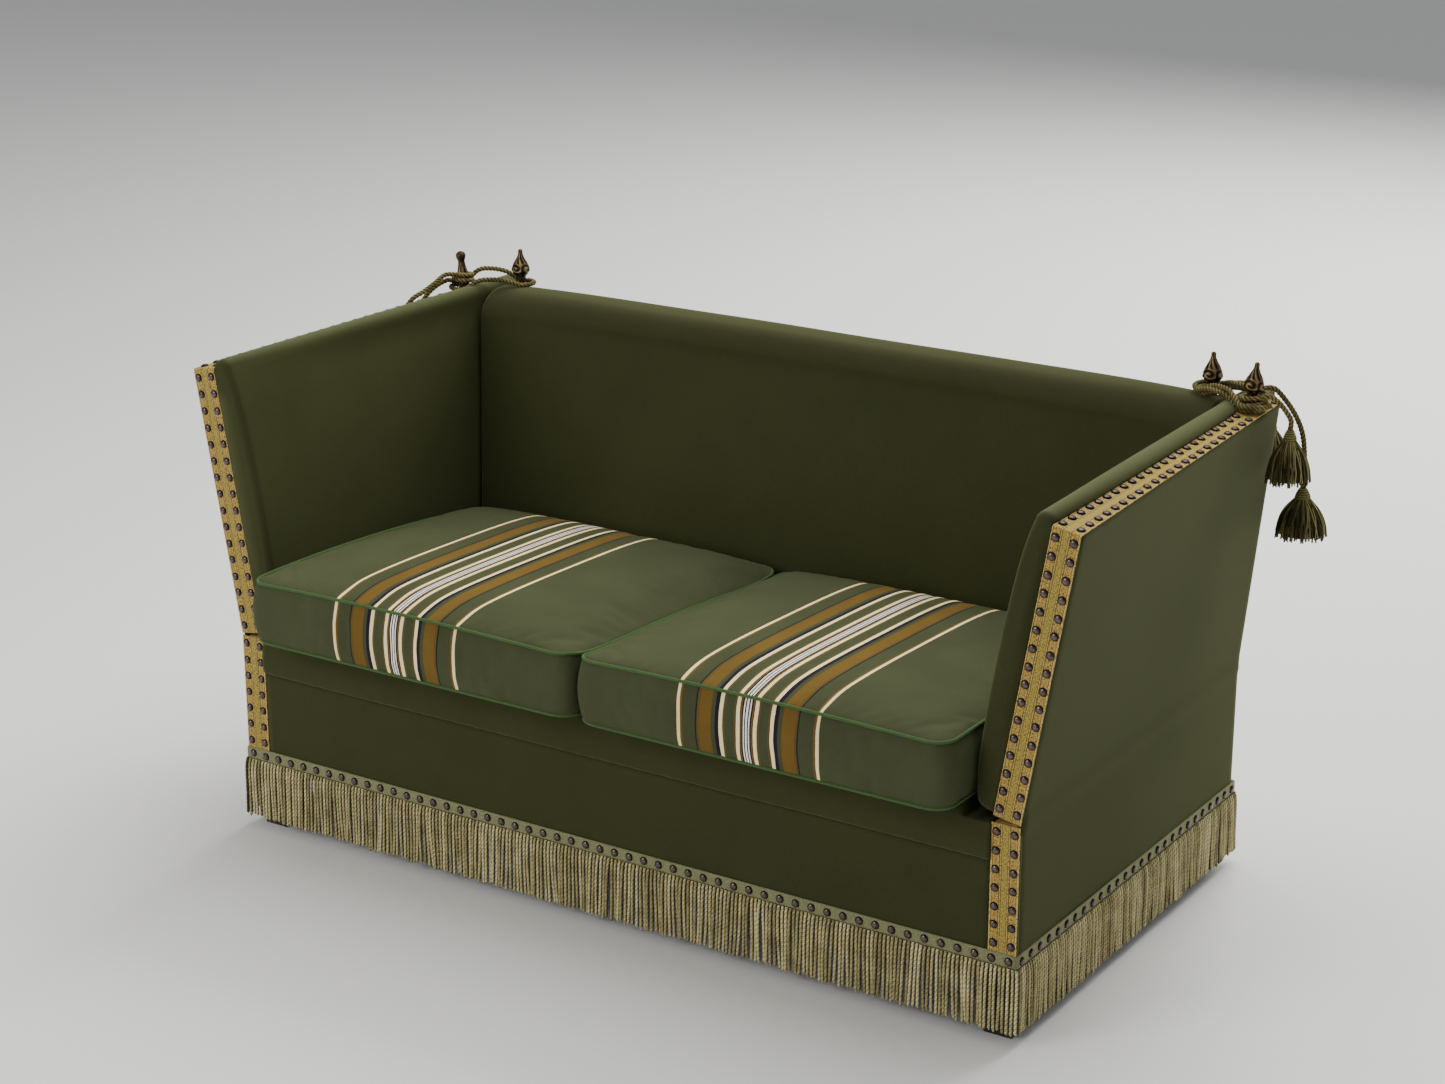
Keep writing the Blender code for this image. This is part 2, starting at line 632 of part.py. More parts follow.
def make_lip(materials):
    """The rolled front edge of the seat, over its seam with the front cover."""
    half = OUTER_X - BRAID_WIDTH - GAP
    narrow = arm_inner_x(FRONT_Y, 0.0) - DECK_SIDE_CLEARANCE
    low = LIP_SEAM_HEIGHT + GAP
    roll_top = DECK_HEIGHT - LIP_ROLL
    outline = [(FRONT_Y + LIP_DEPTH, low), (FRONT_Y, low), (FRONT_Y - LIP_BULGE * 0.7, low + LIP_BULGE),
               (FRONT_Y - LIP_BULGE, between(low, roll_top, 0.5))]
    for step in range(5):
        angle = math.pi / 2 * step / 4
        outline.append((FRONT_Y - LIP_BULGE * 0.6 + LIP_ROLL * (1 - math.cos(angle)),
                        roll_top + LIP_ROLL * math.sin(angle)))
    outline.append((FRONT_Y + LIP_DEPTH, DECK_HEIGHT))
    shoulder = DECK_HEIGHT - WING_HEIGHT

    def ring(x, ceiling):
        return [Vector((x, y, min(z, ceiling))) for y, z in outline]

    bm = bmesh.new()
    add_rings(bm, [ring(-half, shoulder), ring(-narrow - WING_HEIGHT * 0.2, shoulder),
                   ring(-narrow, DECK_HEIGHT), ring(narrow, DECK_HEIGHT),
                   ring(narrow + WING_HEIGHT * 0.2, shoulder), ring(half, shoulder)])
    add_mesh("seat_front_lip", bm, materials["olive_wool"], smooth_degrees=40)


def arm_inner_x(y, up):
    """How far from the middle the arm's pad ends, at y and up the arm."""
    return abs(arm_point(1, PAD_OUT + pad_swell(y), y, up).x)


def make_base_cover(materials):
    """The fabric round the base's front and sides, low under the lip and high beside it."""
    x, y, ear, wall = OUTER_X, FRONT_Y, RAIL_IN_X + GAP, COVER_THICKNESS
    outer = [(-x, BACK_Y), (-x, y), (-ear, y), (ear, y), (x, y), (x, BACK_Y)]
    inner = [(-x + wall, BACK_Y), (-x + wall, y + wall), (-ear, y + wall), (ear, y + wall),
             (x - wall, y + wall), (x - wall, BACK_Y)]
    levels = (BASE_BOTTOM, LIP_SEAM_HEIGHT, HINGE_HEIGHT - COVER_EDGE)
    middle = 2
    bm = bmesh.new()
    add_slab(bm, len(outer) - 1, len(levels) - 1, lambda i, j: j == 0 or i != middle,
             lambda i, j, face: (*(outer, inner)[face][i], levels[j]))
    add_mesh("base_cover", bm, materials["olive_wool"])


def back_half_width(z):
    """Half the back's width: it follows the arms' pads, which lean out."""
    up = max(0.0, z - HINGE_HEIGHT)
    return arm_inner_x(BACK_Y, up) - BACK_SIDE_CLEARANCE - PAD_SWELL_BACK * 0.1


def make_outside_back(materials):
    top = POST_TOP
    low = HINGE_HEIGHT + ARM_RAIL_BOTTOM
    out = RAIL_OUT_X
    wide, narrow = back_half_width(top), back_half_width(low)
    shoulder = RAIL_TOP
    outline = [(-out, BASE_BOTTOM), (out, BASE_BOTTOM), (out, shoulder), (narrow, shoulder), (wide, top),
               (-wide, top), (-narrow, shoulder), (-out, shoulder)]
    bm = bmesh.new()
    add_prism(bm, outline, along_y, OUTSIDE_BACK_Y, BACK_Y)
    add_mesh("outside_back", bm, materials["olive_wool"])


def make_base_braid(materials):
    """Braid down both front corners, over the tape."""
    for word, side in LEFT_AND_RIGHT:
        make_box(f"base_braid_{word}", materials["gold_braid"],
                 sided(side, OUTER_X - BRAID_WIDTH, OUTER_X - GAP),
                 (FRONT_Y - GAP - BRAID_THICKNESS, FRONT_Y - GAP),
                 (TAPE_TOP + GAP, HINGE_HEIGHT - BASE_LINE_GAP))


# The fringe

def plan_loop(out, flute_depth=0.0):
    """The base's outline in plan, out from it, with its four corners' places in the list.
    A flute depth makes every second point of each side step back."""
    x, front, back = OUTER_X + out, FRONT_Y - out, BACK_Y + out
    corners = [Vector((-x, front)), Vector((x, front)), Vector((x, back)), Vector((-x, back))]
    points, marks = [], []
    for i in range(4):
        start, end = corners[i], corners[(i + 1) % 4]
        along = end - start
        outward = Vector((along.y, -along.x)).normalized()
        marks.append(len(points))
        points.append(start)
        if flute_depth:
            flutes = max(2, round(along.length / FLUTE_PITCH))
            for step in range(1, 2 * flutes):
                back_off = flute_depth * (step % 2)
                points.append(start + along * step / (2 * flutes) - outward * back_off)
    return points, marks


def make_fringe(materials):
    """Bullion fringe on its tape, in one length round all four sides of the base."""
    bm = bmesh.new()
    knee = TAPE_TOP - TAPE_HEIGHT
    sections = [(GAP, 0.0, FRINGE_BOTTOM), (FRINGE_OUT, FLUTE_DEPTH, FRINGE_BOTTOM),
                (FRINGE_OUT, FLUTE_DEPTH, knee), (GAP + TAPE_THICKNESS, 0.0, knee),
                (GAP + TAPE_THICKNESS, 0.0, TAPE_TOP), (GAP, 0.0, TAPE_TOP)]
    loops = []
    for out, depth, z in sections:
        points, marks = plan_loop(out, depth)
        loops.append(([bm.verts.new((*point, z)) for point in points], marks))
    for (first, first_marks), (second, second_marks) in zip(loops, loops[1:] + loops[:1]):
        if len(first) == len(second):
            for i in range(len(first)):
                j = (i + 1) % len(first)
                bm.faces.new((first[i], first[j], second[j], second[i]))
            continue
        many, few = (first, second) if len(first) > len(second) else (second, first)
        marks = (first_marks if many is first else second_marks) + [len(many)]
        for i in range(4):
            low, high = marks[i], marks[i + 1]
            half = (low + high) // 2
            near, far = few[i], few[(i + 1) % 4]
            for step in range(low, high):
                bm.faces.new((many[step], many[(step + 1) % len(many)], near if step < half else far))
            bm.faces.new((near, many[half], far))
    add_mesh("bullion_fringe", bm, materials["bullion"])


# The back

def make_back_frame(materials):
    beech = materials["beech"]
    foot_z = RAIL_TOP + GAP
    for word, side in LEFT_AND_RIGHT:
        rings = []
        for z in (foot_z, POST_TOP):
            x = side * between(POST_FOOT_X, POST_HEAD_X, (z - foot_z) / (POST_TOP - foot_z))
            low, high = x - POST_WIDTH / 2, x + POST_WIDTH / 2
            rings.append([Vector((low, POST_FRONT_Y, z)), Vector((high, POST_FRONT_Y, z)),
                          Vector((high, POST_BACK_Y, z)), Vector((low, POST_BACK_Y, z))])
        bm = bmesh.new()
        add_rings(bm, rings)
        add_mesh(f"back_post_{word}", bm, beech)
    rails = (("back_top_rail", TOP_RAIL_TOP - BACK_RAIL_HEIGHT), ("back_tacking_rail", TACKING_RAIL_BOTTOM))
    for name, low in rails:
        middle = between(POST_FOOT_X, POST_HEAD_X, (low - foot_z) / (POST_TOP - foot_z))
        half = middle - POST_WIDTH / 2 - GAP
        make_box(name, beech, (-half, half), (POST_FRONT_Y, POST_BACK_Y), (low, low + BACK_RAIL_HEIGHT))


def back_section(bulge):
    """The pad's section at one station: (y, z) up the front, over the roll and back inside."""
    low = DECK_HEIGHT + GAP
    face_shares = ((0.0, 0.10), (0.08, 0.62), (0.22, 0.95), (0.42, 1.0), (0.62, 0.72), (0.82, 0.30))
    roll_middle = BACK_HEIGHT - BACK_ROLL_RISE
    points = []
    for level, crown in face_shares:
        y = FRONT_Y + between(BACK_FACE_AT_DECK, BACK_FACE_AT_TOP, level)
        points.append((y - BACK_CROWN * crown * bulge, between(low, roll_middle, level)))
    front, back = FRONT_Y + BACK_FACE_AT_TOP, BACK_Y - GAP
    centre, reach = (front + back) / 2, (back - front) / 2
    for step in range(9):
        angle = math.pi * (1 - step / 8)
        points.append((centre + reach * math.cos(angle), roll_middle + BACK_ROLL_RISE * math.sin(angle)))
    edge = POST_TOP + GAP
    points[-1] = (back, edge)
    inside_top = TOP_RAIL_TOP + GAP
    points += [(POST_BACK_Y + GAP, edge), (POST_BACK_Y + GAP, inside_top),
               (POST_FRONT_Y - GAP, inside_top), (POST_FRONT_Y - GAP, low)]
    return points


def make_back_pad(materials):
    bm = bmesh.new()
    rings = []
    for share in spread(-1.0, 1.0, BACK_CELLS):
        bulge = 1 - abs(share) ** 4
        rings.append([Vector((share * back_half_width(z), y, z)) for y, z in back_section(bulge)])
    add_rings(bm, rings)
    return add_mesh("back_pad", bm, materials["olive_wool"], smooth_degrees=50)


# The finials

FLAME_SHARES = ((0.92, 0.0), (0.92, 0.05), (0.58, 0.09), (0.55, 0.20), (0.57, 0.36), (0.84, 0.43),
                (1.0, 0.50), (0.95, 0.58), (0.68, 0.70), (0.42, 0.81), (0.26, 0.91), (0.21, 0.97),
                (0.08, 1.0))
BALL_SHARES = ((0.92, 0.0), (0.92, 0.05), (0.60, 0.10), (0.63, 0.20), (0.63, 0.34), (0.60, 0.46),
               (0.50, 0.57), (0.40, 0.70), (0.40, 0.77), (0.50, 0.82), (0.57, 0.89), (0.46, 0.96),
               (0.16, 1.0))


def make_finials(materials, hinges, back_pad):
    """Flame finials on the posts and the right arm, and a ball one on the left arm."""
    up = Vector((0, 0, 1))
    cutter = bmesh.new()
    seat_z = BACK_HEIGHT - FINIAL_SINK
    for word, side in LEFT_AND_RIGHT:
        seat = Vector((side * POST_HEAD_X, BACK_FINIAL_Y, seat_z))
        bm = bmesh.new()
        add_turned(bm, seat, up, FLAME_SHARES, FINIAL_RADIUS, FINIAL_HEIGHT, FINIAL_SIDES)
        add_mesh(f"back_finial_{word}", bm, materials["bronze"], smooth_degrees=60)
        room = FINIAL_RADIUS + GAP * 2
        add_turned(cutter, seat - up * GAP, up, ((1.0, 0.0), (1.0, 1.0)), room, FINIAL_HEIGHT, FINIAL_SIDES)
    cut_with(back_pad, add_mesh("finial_seat_cutter", cutter, materials["bronze"]))
    for word, side in LEFT_AND_RIGHT:
        foot, arm_upward = arm_finial_foot(side, word)
        shares = FLAME_SHARES if word == "right" else BALL_SHARES
        radius = FINIAL_RADIUS if word == "right" else BALL_FINIAL_RADIUS
        height = FINIAL_HEIGHT if word == "right" else BALL_FINIAL_HEIGHT
        bm = bmesh.new()
        add_turned(bm, foot, arm_upward, shares, radius, height, FINIAL_SIDES)
        add_mesh(f"arm_finial_{word}", bm, materials["bronze"], hinges[word], smooth_degrees=60)


# The hinges

def leaf_outline(turn):
    """A leaf rolled round its pin, as (x, z) from the pin's centre. turn is 1 for the lower leaf."""
    outer, inner = KNUCKLE_RADIUS, PIN_RADIUS + PIN_CLEARANCE
    steps = range(KNUCKLE_STEPS + 1)
    angles = [math.radians(LEAF_WRAP_DEGREES * i / KNUCKLE_STEPS - 90.0) for i in steps]
    outline = [(-LEAF_WIDTH, -outer)]
    outline += [(outer * math.cos(angle), outer * math.sin(angle)) for angle in angles]
    outline += [(inner * math.cos(angle), inner * math.sin(angle)) for angle in reversed(angles)]
    outline.append((-LEAF_WIDTH, -inner))
    return [(x, turn * z) for x, z in outline]


def make_hinges(materials, hinges):
    """A long rolled hinge to each arm, its knuckles belonging to the two leaves by turns."""
    steel = materials["hinge_steel"]
    low, high = FRONT_Y + HINGE_MARGIN, RETURN_FRONT_Y - HINGE_MARGIN
    edges = spread(low, high, HINGE_KNUCKLES)
    room = KNUCKLE_RADIUS + GAP
    for word, side in LEFT_AND_RIGHT:
        across = sided(side, AXIS_X - room - PIN_RADIUS, AXIS_X + room)
        tall = (HINGE_HEIGHT - room, HINGE_HEIGHT + room)
        for number, (name, turn, parent) in enumerate((("base", 1, None), ("arm", -1, hinges[word]))):
            leaf = bmesh.new()
            add_prism(leaf, leaf_outline(turn), lambda a, b, y: (side * (AXIS_X + a), y, HINGE_HEIGHT + b),
                      low, high)
            cutter = bmesh.new()
            for i in range(1 - number, HINGE_KNUCKLES, 2):
                add_box(cutter, across, (edges[i] - GAP / 2, edges[i + 1] + GAP / 2), tall)
            made = add_mesh(f"{name}_hinge_leaf_{word}", leaf, steel, parent)
            cut_with(made, add_mesh(f"{name}_leaf_cutter_{word}", cutter, steel, parent))
        pin = bmesh.new()
        add_turned(pin, Vector((side * AXIS_X, low, HINGE_HEIGHT)), Vector((0, 1, 0)),
                   ((1.0, 0.0), (1.0, 1.0)), PIN_RADIUS, high - low, PIN_SIDES)
        add_mesh(f"hinge_pin_{word}", pin, steel)


# The cushions

def cushion_outline():
    """The cushion in plan, from its middle, with rounded corners."""
    turn = math.tau / 4
    reach_x = CUSHION_WIDTH / 2 - CUSHION_CORNER_RADIUS
    reach_y = CUSHION_DEPTH / 2 - CUSHION_CORNER_RADIUS
    centres = ((reach_x, reach_y), (-reach_x, reach_y), (-reach_x, -reach_y), (reach_x, -reach_y))
    corners = []
    for number, (x, y) in enumerate(centres):
        angles = [turn * (number + step / CUSHION_CORNER_STEPS) for step in range(CUSHION_CORNER_STEPS + 1)]
        corners.append([Vector((x + CUSHION_CORNER_RADIUS * math.cos(angle),
                                y + CUSHION_CORNER_RADIUS * math.sin(angle))) for angle in angles])
    outline = []
    for corner, following in zip(corners, corners[1:] + corners[:1]):
        outline += corner
        outline += [corner[-1].lerp(following[0], step / CUSHION_SIDE_STEPS)
                    for step in range(1, CUSHION_SIDE_STEPS)]
    return outline


def make_cushions(materials, lifts):
    """Box cushions, piped round both edges of the boxing, which bows up between the corners."""
    low = DECK_HEIGHT + GAP + PIPING_RADIUS
    high = low + BOXING_HEIGHT
    half_x, half_y = CUSHION_WIDTH / 2, CUSHION_DEPTH / 2
    middle_y = FRONT_Y - CUSHION_OVERHANG + half_y
    seam = BOXING_BULGE + PIPING_RADIUS * 0.8
    inset = PIPING_RADIUS * 0.8
    levels = [(0.5, seam, low - PIPING_RADIUS, 0.0), (0.94, seam, low - PIPING_RADIUS, 0.0)]
    for level, bow in ((low, 0.0), (high, CUSHION_EDGE_BOW)):
        levels += [(1.0, seam, level - inset, bow), (1.0, BOXING_BULGE, level, bow),
                   (1.0, seam, level + inset, bow)]
    levels[5:5] = [(1.0, BOXING_BULGE * 0.25, between(low, high, 0.25), CUSHION_EDGE_BOW * 0.25),
                   (1.0, 0.0, between(low, high, 0.5), CUSHION_EDGE_BOW * 0.5),
                   (1.0, BOXING_BULGE * 0.25, between(low, high, 0.75), CUSHION_EDGE_BOW * 0.75)]
    for scale in (0.94, 0.84, 0.68, 0.45, 0.2):
        rise = PIPING_RADIUS + CUSHION_CROWN * (1 - scale ** 3.0)
        levels.append((scale, seam, high + rise, CUSHION_EDGE_BOW))
    outline = cushion_outline()
    for word, side in LEFT_AND_RIGHT:
        rings = []
        for scale, taken_in, z, bow in levels:
            ring = []
            for x, y in outline:
                middle_share = 1 - (x / half_x * y / half_y) ** 2
                ring.append(Vector((side * CUSHION_PITCH / 2 + x * scale * (1 - taken_in / half_x),
                                    middle_y + y * scale * (1 - taken_in / half_y), z + bow * middle_share)))
            rings.append(ring)
        bm = bmesh.new()
        add_rings(bm, rings)
        add_mesh(f"seat_cushion_{word}", bm, materials["cushion_wool"], lifts[word], smooth_degrees=55)


# The cords

TASSEL_SHARES = ((0.90, 0.0), (0.97, 0.06), (0.84, 0.28), (0.66, 0.50), (0.46, 0.66), (0.30, 0.73),
                 (0.22, 0.77), (0.34, 0.83), (0.36, 0.90), (0.24, 0.97), (0.13, 1.0))

# Routes are given for the right side, as (out from the middle, back, up) from the foot of the arm's
# finial: out along one tail and back along the other, to the necks of their tassels
TAIL_OUT = {
    "right": ((0.0206, -0.0035, 0.0230), (0.0331, 0.0010, 0.0270), (0.0461, 0.0080, 0.0170),
              (0.0571, 0.0150, 0.0010)),
    "left": ((0.0188, -0.0270, 0.0231), (0.0308, -0.0430, 0.0151), (0.0398, -0.0570, 0.0031),
             (0.0458, -0.0690, -0.0109)),
}
TAIL_BACK = {
    "right": ((0.0171, 0.0160, 0.0350), (0.0291, 0.0290, 0.0330), (0.0441, 0.0410, 0.0130),
              (0.0581, 0.0520, -0.0130), (0.0681, 0.0610, -0.0440), (0.0711, 0.0680, -0.0830)),
    "left": ((0.0138, -0.0390, 0.0361), (0.0208, -0.0650, 0.0231), (0.0288, -0.0890, 0.0111),
             (0.0398, -0.1070, 0.0001), (0.0528, -0.1150, -0.0229), (0.0648, -0.1180, -0.0629),
             (0.0708, -0.1185, -0.1029)),
}
# Each tassel: its neck, its length and its radius
TASSELS = {
    "right": ((0.0631, 0.0200, -0.0270, 0.090, 0.038), (0.0711, 0.0720, -0.1370, 0.085, 0.044)),
    "left": ((0.0488, -0.0770, -0.0319, 0.090, 0.036), (0.0708, -0.1190, -0.1369, 0.085, 0.043)),
}
REAR_CORD = ((0.0056, 0.0322, 0.0050), (0.0021, 0.0520, 0.0051), (-0.0029, 0.0750, 0.0066),
             (-0.0069, 0.0990, 0.0090), (-0.0119, 0.1200, -0.0030), (-0.0149, 0.1290, -0.0270))
REAR_TASSEL = (-0.0154, 0.1300, -0.0470, 0.090, 0.038)


def arm_finial_foot(side, word):
    y = BACK_Y - ARM_FINIAL_FROM_BACK[word]
    return arm_point(side, BRAID_WIDTH / 2, y, ARM_LENGTH + BRAID_THICKNESS + 2 * GAP), arm_up(side, y)


def beside_finial(side, word, place):
    x, y, z = place
    return arm_finial_foot(side, word)[0] + Vector((side * x, y, z))


def loop_route(side, word):
    """A closed loop round both finials, over the arm pad's roll and down onto the braid."""
    back = Vector((side * POST_HEAD_X, BACK_FINIAL_Y, BACK_HEIGHT + LOOP_OVER_BACK))
    foot, up = arm_finial_foot(side, word)
    arm = foot + up * LOOP_OVER_BRAID
    along = arm - back
    heading = math.atan2(along.y, along.x)
    turns = [math.pi / 2 + math.pi * i / 4 for i in range(5)]
    route = [back + Vector((math.cos(heading + turn), math.sin(heading + turn), 0)) * LOOP_RADIUS
             for turn in turns]
    crest_shares = ((0.25, 0.70), (0.50, 1.0), (0.75, 0.95))
    for turn, places in ((-math.pi / 2, crest_shares), (math.pi / 2, reversed(crest_shares))):
        strand = Vector((math.cos(heading + turn), math.sin(heading + turn), 0)) * LOOP_RADIUS
        is_rear = strand.y > 0
        crest = (LOOP_REAR_RISE if is_rear else LOOP_FRONT_RISE)[word]
        for share, rise_share in places:
            route.append(back + along * share + strand + Vector((0, 0, crest * rise_share)))
        if turn < 0:
            route += [arm + Vector((math.cos(heading + math.pi * (i / 4 - 0.5)),
                                    math.sin(heading + math.pi * (i / 4 - 0.5)), 0)) * LOOP_RADIUS
                      for i in range(5)]
    return route


def make_cords(materials, hinges):
    cord = materials["cord"]
    step = CORD_DIAMETER * CORD_STEP_SHARE
    for word, side in LEFT_AND_RIGHT:
        loop = loop_route(side, word)
        closed = smooth_route(loop + loop[:1], step)[:-1]
        make_tube(f"cord_loop_{word}", closed, CORD_DIAMETER, 2, cord, closed=True)
        foot, up = arm_finial_foot(side, word)
        middle = foot + up * HITCH_HEIGHT
        out = [beside_finial(side, word, place) for place in TAIL_OUT[word]]
        back = [beside_finial(side, word, place) for place in TAIL_BACK[word]]
        entry = math.atan2(out[0].y - middle.y, side * (out[0].x - middle.x))
        leave = math.atan2(back[0].y - middle.y, side * (back[0].x - middle.x))
        sweep = (leave - entry) % math.tau + math.tau
        hitch = []
        for i in range(1, HITCH_POINTS):
            angle = entry + sweep * i / HITCH_POINTS
            ring = Vector((side * math.cos(angle), math.sin(angle), 0)) * HITCH_RADIUS
            hitch.append(middle + ring + up * (CORD_DIAMETER + GAP) * (angle - entry) / math.tau)
        necks = [beside_finial(side, word, tassel[:3]) for tassel in TASSELS[word]]
        drop = Vector((0, 0, 1.5 * CORD_DIAMETER))
        route = [necks[0], necks[0] + drop, *reversed(out), *hitch, *back, necks[1] + drop, necks[1]]
        make_tube(f"cord_tail_{word}", smooth_route(route, step), CORD_DIAMETER, 2, cord, hinges[word])
        for place, neck, (*_, length, radius) in zip(("upper", "lower"), necks, TASSELS[word]):
            make_tassel(f"tassel_{place}_{word}", neck, length, radius, cord, hinges[word])
    rear_neck = beside_finial(1, "right", REAR_TASSEL[:3])
    rear = [*(beside_finial(1, "right", place) for place in REAR_CORD), rear_neck]
    make_tube("cord_rear_right", smooth_route(rear, step), CORD_DIAMETER, 2, cord, hinges["right"])
    make_tassel("tassel_rear_right", rear_neck, *REAR_TASSEL[3:], cord, hinges["right"])


def make_tassel(name, neck, length, radius, material, parent):
    """A full tassel hanging just below the end of its cord."""
    top = neck - Vector((0, 0, 2 * GAP))
    bm = bmesh.new()
    bottom = top - Vector((0, 0, length))
    add_turned(bm, bottom, Vector((0, 0, 1)), TASSEL_SHARES, radius, length, TASSEL_SIDES)
    add_mesh(name, bm, material, parent, smooth_degrees=60)


def build():
    clear_scene()
    materials = make_materials()
    hinges = {}
    lifts = {}
    for word, side in LEFT_AND_RIGHT:
        hinge = bpy.data.objects.new(f"arm_{word}_hinge_axis", None)
        hinge.location = (side * AXIS_X, (FRONT_Y + BACK_Y) / 2, HINGE_HEIGHT)
        bpy.context.scene.collection.objects.link(hinge)
        hinges[word] = hinge
        lift = bpy.data.objects.new(f"seat_cushion_{word}_lift_axis", None)
        lift.location = (side * CUSHION_PITCH / 2, FRONT_Y - CUSHION_OVERHANG + CUSHION_DEPTH / 2,
                         DECK_HEIGHT)
        bpy.context.scene.collection.objects.link(lift)
        lifts[word] = lift
    for word, side in LEFT_AND_RIGHT:
        make_arm_frame(word, side, materials, hinges[word])
        make_arm_cover(word, side, materials, hinges[word])
        make_arm_pad(word, side, materials, hinges[word])
        make_arm_braid(word, side, materials, hinges[word])
    make_base_frame(materials)
    make_feet(materials)
    make_webbing(materials)
    make_bottom_cloth(materials)
    make_springs(materials)
    make_deck(materials)
    make_lip(materials)
    make_base_cover(materials)
    make_outside_back(materials)
    make_base_braid(materials)
    make_fringe(materials)
    make_back_frame(materials)
    back_pad = make_back_pad(materials)
    make_finials(materials, hinges, back_pad)
    make_hinges(materials, hinges)
    make_cushions(materials, lifts)
    make_cords(materials, hinges)


build()
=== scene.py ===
"""Looks of the drop arm sofa: woollen cloth, braid and nails, bullion fringe, finials and tied cords."""
import json
import math
import random

import bmesh
import bpy
import numpy as np
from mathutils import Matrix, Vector


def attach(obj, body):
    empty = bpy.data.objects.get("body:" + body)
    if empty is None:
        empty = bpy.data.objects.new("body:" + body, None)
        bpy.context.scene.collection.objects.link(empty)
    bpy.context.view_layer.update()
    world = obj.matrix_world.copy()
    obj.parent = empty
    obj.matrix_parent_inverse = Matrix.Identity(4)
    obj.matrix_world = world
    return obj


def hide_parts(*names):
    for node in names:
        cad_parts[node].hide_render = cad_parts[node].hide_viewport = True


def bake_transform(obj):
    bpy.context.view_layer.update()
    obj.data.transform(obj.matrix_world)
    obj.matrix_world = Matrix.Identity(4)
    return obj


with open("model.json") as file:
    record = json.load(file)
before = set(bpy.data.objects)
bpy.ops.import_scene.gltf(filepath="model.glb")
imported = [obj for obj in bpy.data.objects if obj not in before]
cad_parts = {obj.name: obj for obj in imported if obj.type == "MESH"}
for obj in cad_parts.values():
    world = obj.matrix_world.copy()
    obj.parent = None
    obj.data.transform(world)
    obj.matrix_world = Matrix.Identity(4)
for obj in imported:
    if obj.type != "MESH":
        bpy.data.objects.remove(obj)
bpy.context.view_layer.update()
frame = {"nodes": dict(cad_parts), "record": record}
SCENE = bpy.context.scene

# Sizes repeated from part.py, in metres
OUTER_X = 0.760
BASE_DEPTH = 0.800
CUSHION_OVERHANG = 0.080
FRINGE_OUT = 0.0103
FRONT_Y = CUSHION_OVERHANG - (CUSHION_OVERHANG + BASE_DEPTH + FRINGE_OUT) / 2
BACK_Y = FRONT_Y + BASE_DEPTH
HINGE_HEIGHT = 0.361
HINGE_LINE = 0.0014
DECK_HEIGHT = 0.3845
ARM_LENGTH = 0.470
BACK_HEIGHT = 0.8415
GAP = 0.0003
BRAID_WIDTH = 0.048
BRAID_THICKNESS = 0.0015
ARM_BACK_Y = BACK_Y - BRAID_THICKNESS
COVER = 0.0075
FRAME_IN = 0.0461
PAD_OUT = 0.0467
RAIL_OUT_X = OUTER_X - COVER - GAP
RAIL_THICKNESS = 0.038
OUTSIDE_BACK_Y = BACK_Y - 0.0315
POST_BACK_Y = OUTSIDE_BACK_Y - GAP
POST_DEPTH = 0.040
POST_DROP = 0.0415
BACK_FINIAL = (0.7035, POST_BACK_Y - POST_DEPTH / 2)
FINIAL_Y = {"left": BACK_Y - 0.117, "right": BACK_Y - 0.087}
LIP_SEAM = 0.295
WING_HEIGHT = 0.0265
TAPE_TOP = 0.150
TAPE_BOTTOM = 0.128
FRINGE_BOTTOM = 0.018
CORD = 0.0095
SIDES = (("left", -1), ("right", 1))


# Camera, at the photograph's viewing angle: degrees down and round, place and lens in metres and millimetres
CAMERA_DOWN, CAMERA_ROUND = 18.313, 33.031
camera = bpy.data.objects.new("camera", bpy.data.cameras.new("camera"))
SCENE.collection.objects.link(camera)
camera.location = (2.5168, -3.5075 + FRONT_Y, 2.0927)
camera.rotation_euler = (math.radians(90 - CAMERA_DOWN), 0.0, math.radians(CAMERA_ROUND))
camera.data.sensor_width = 36
camera.data.lens = 71.93
SCENE.camera = camera


# Materials

def rgb(red, green, blue):
    """A colour on the 0 to 255 scale of a screen, as the shader's linear values."""
    linear = [v / 255 / 12.92 if v <= 10 else ((v / 255 + 0.055) / 1.055) ** 2.4 for v in (red, green, blue)]
    return (*linear, 1.0)


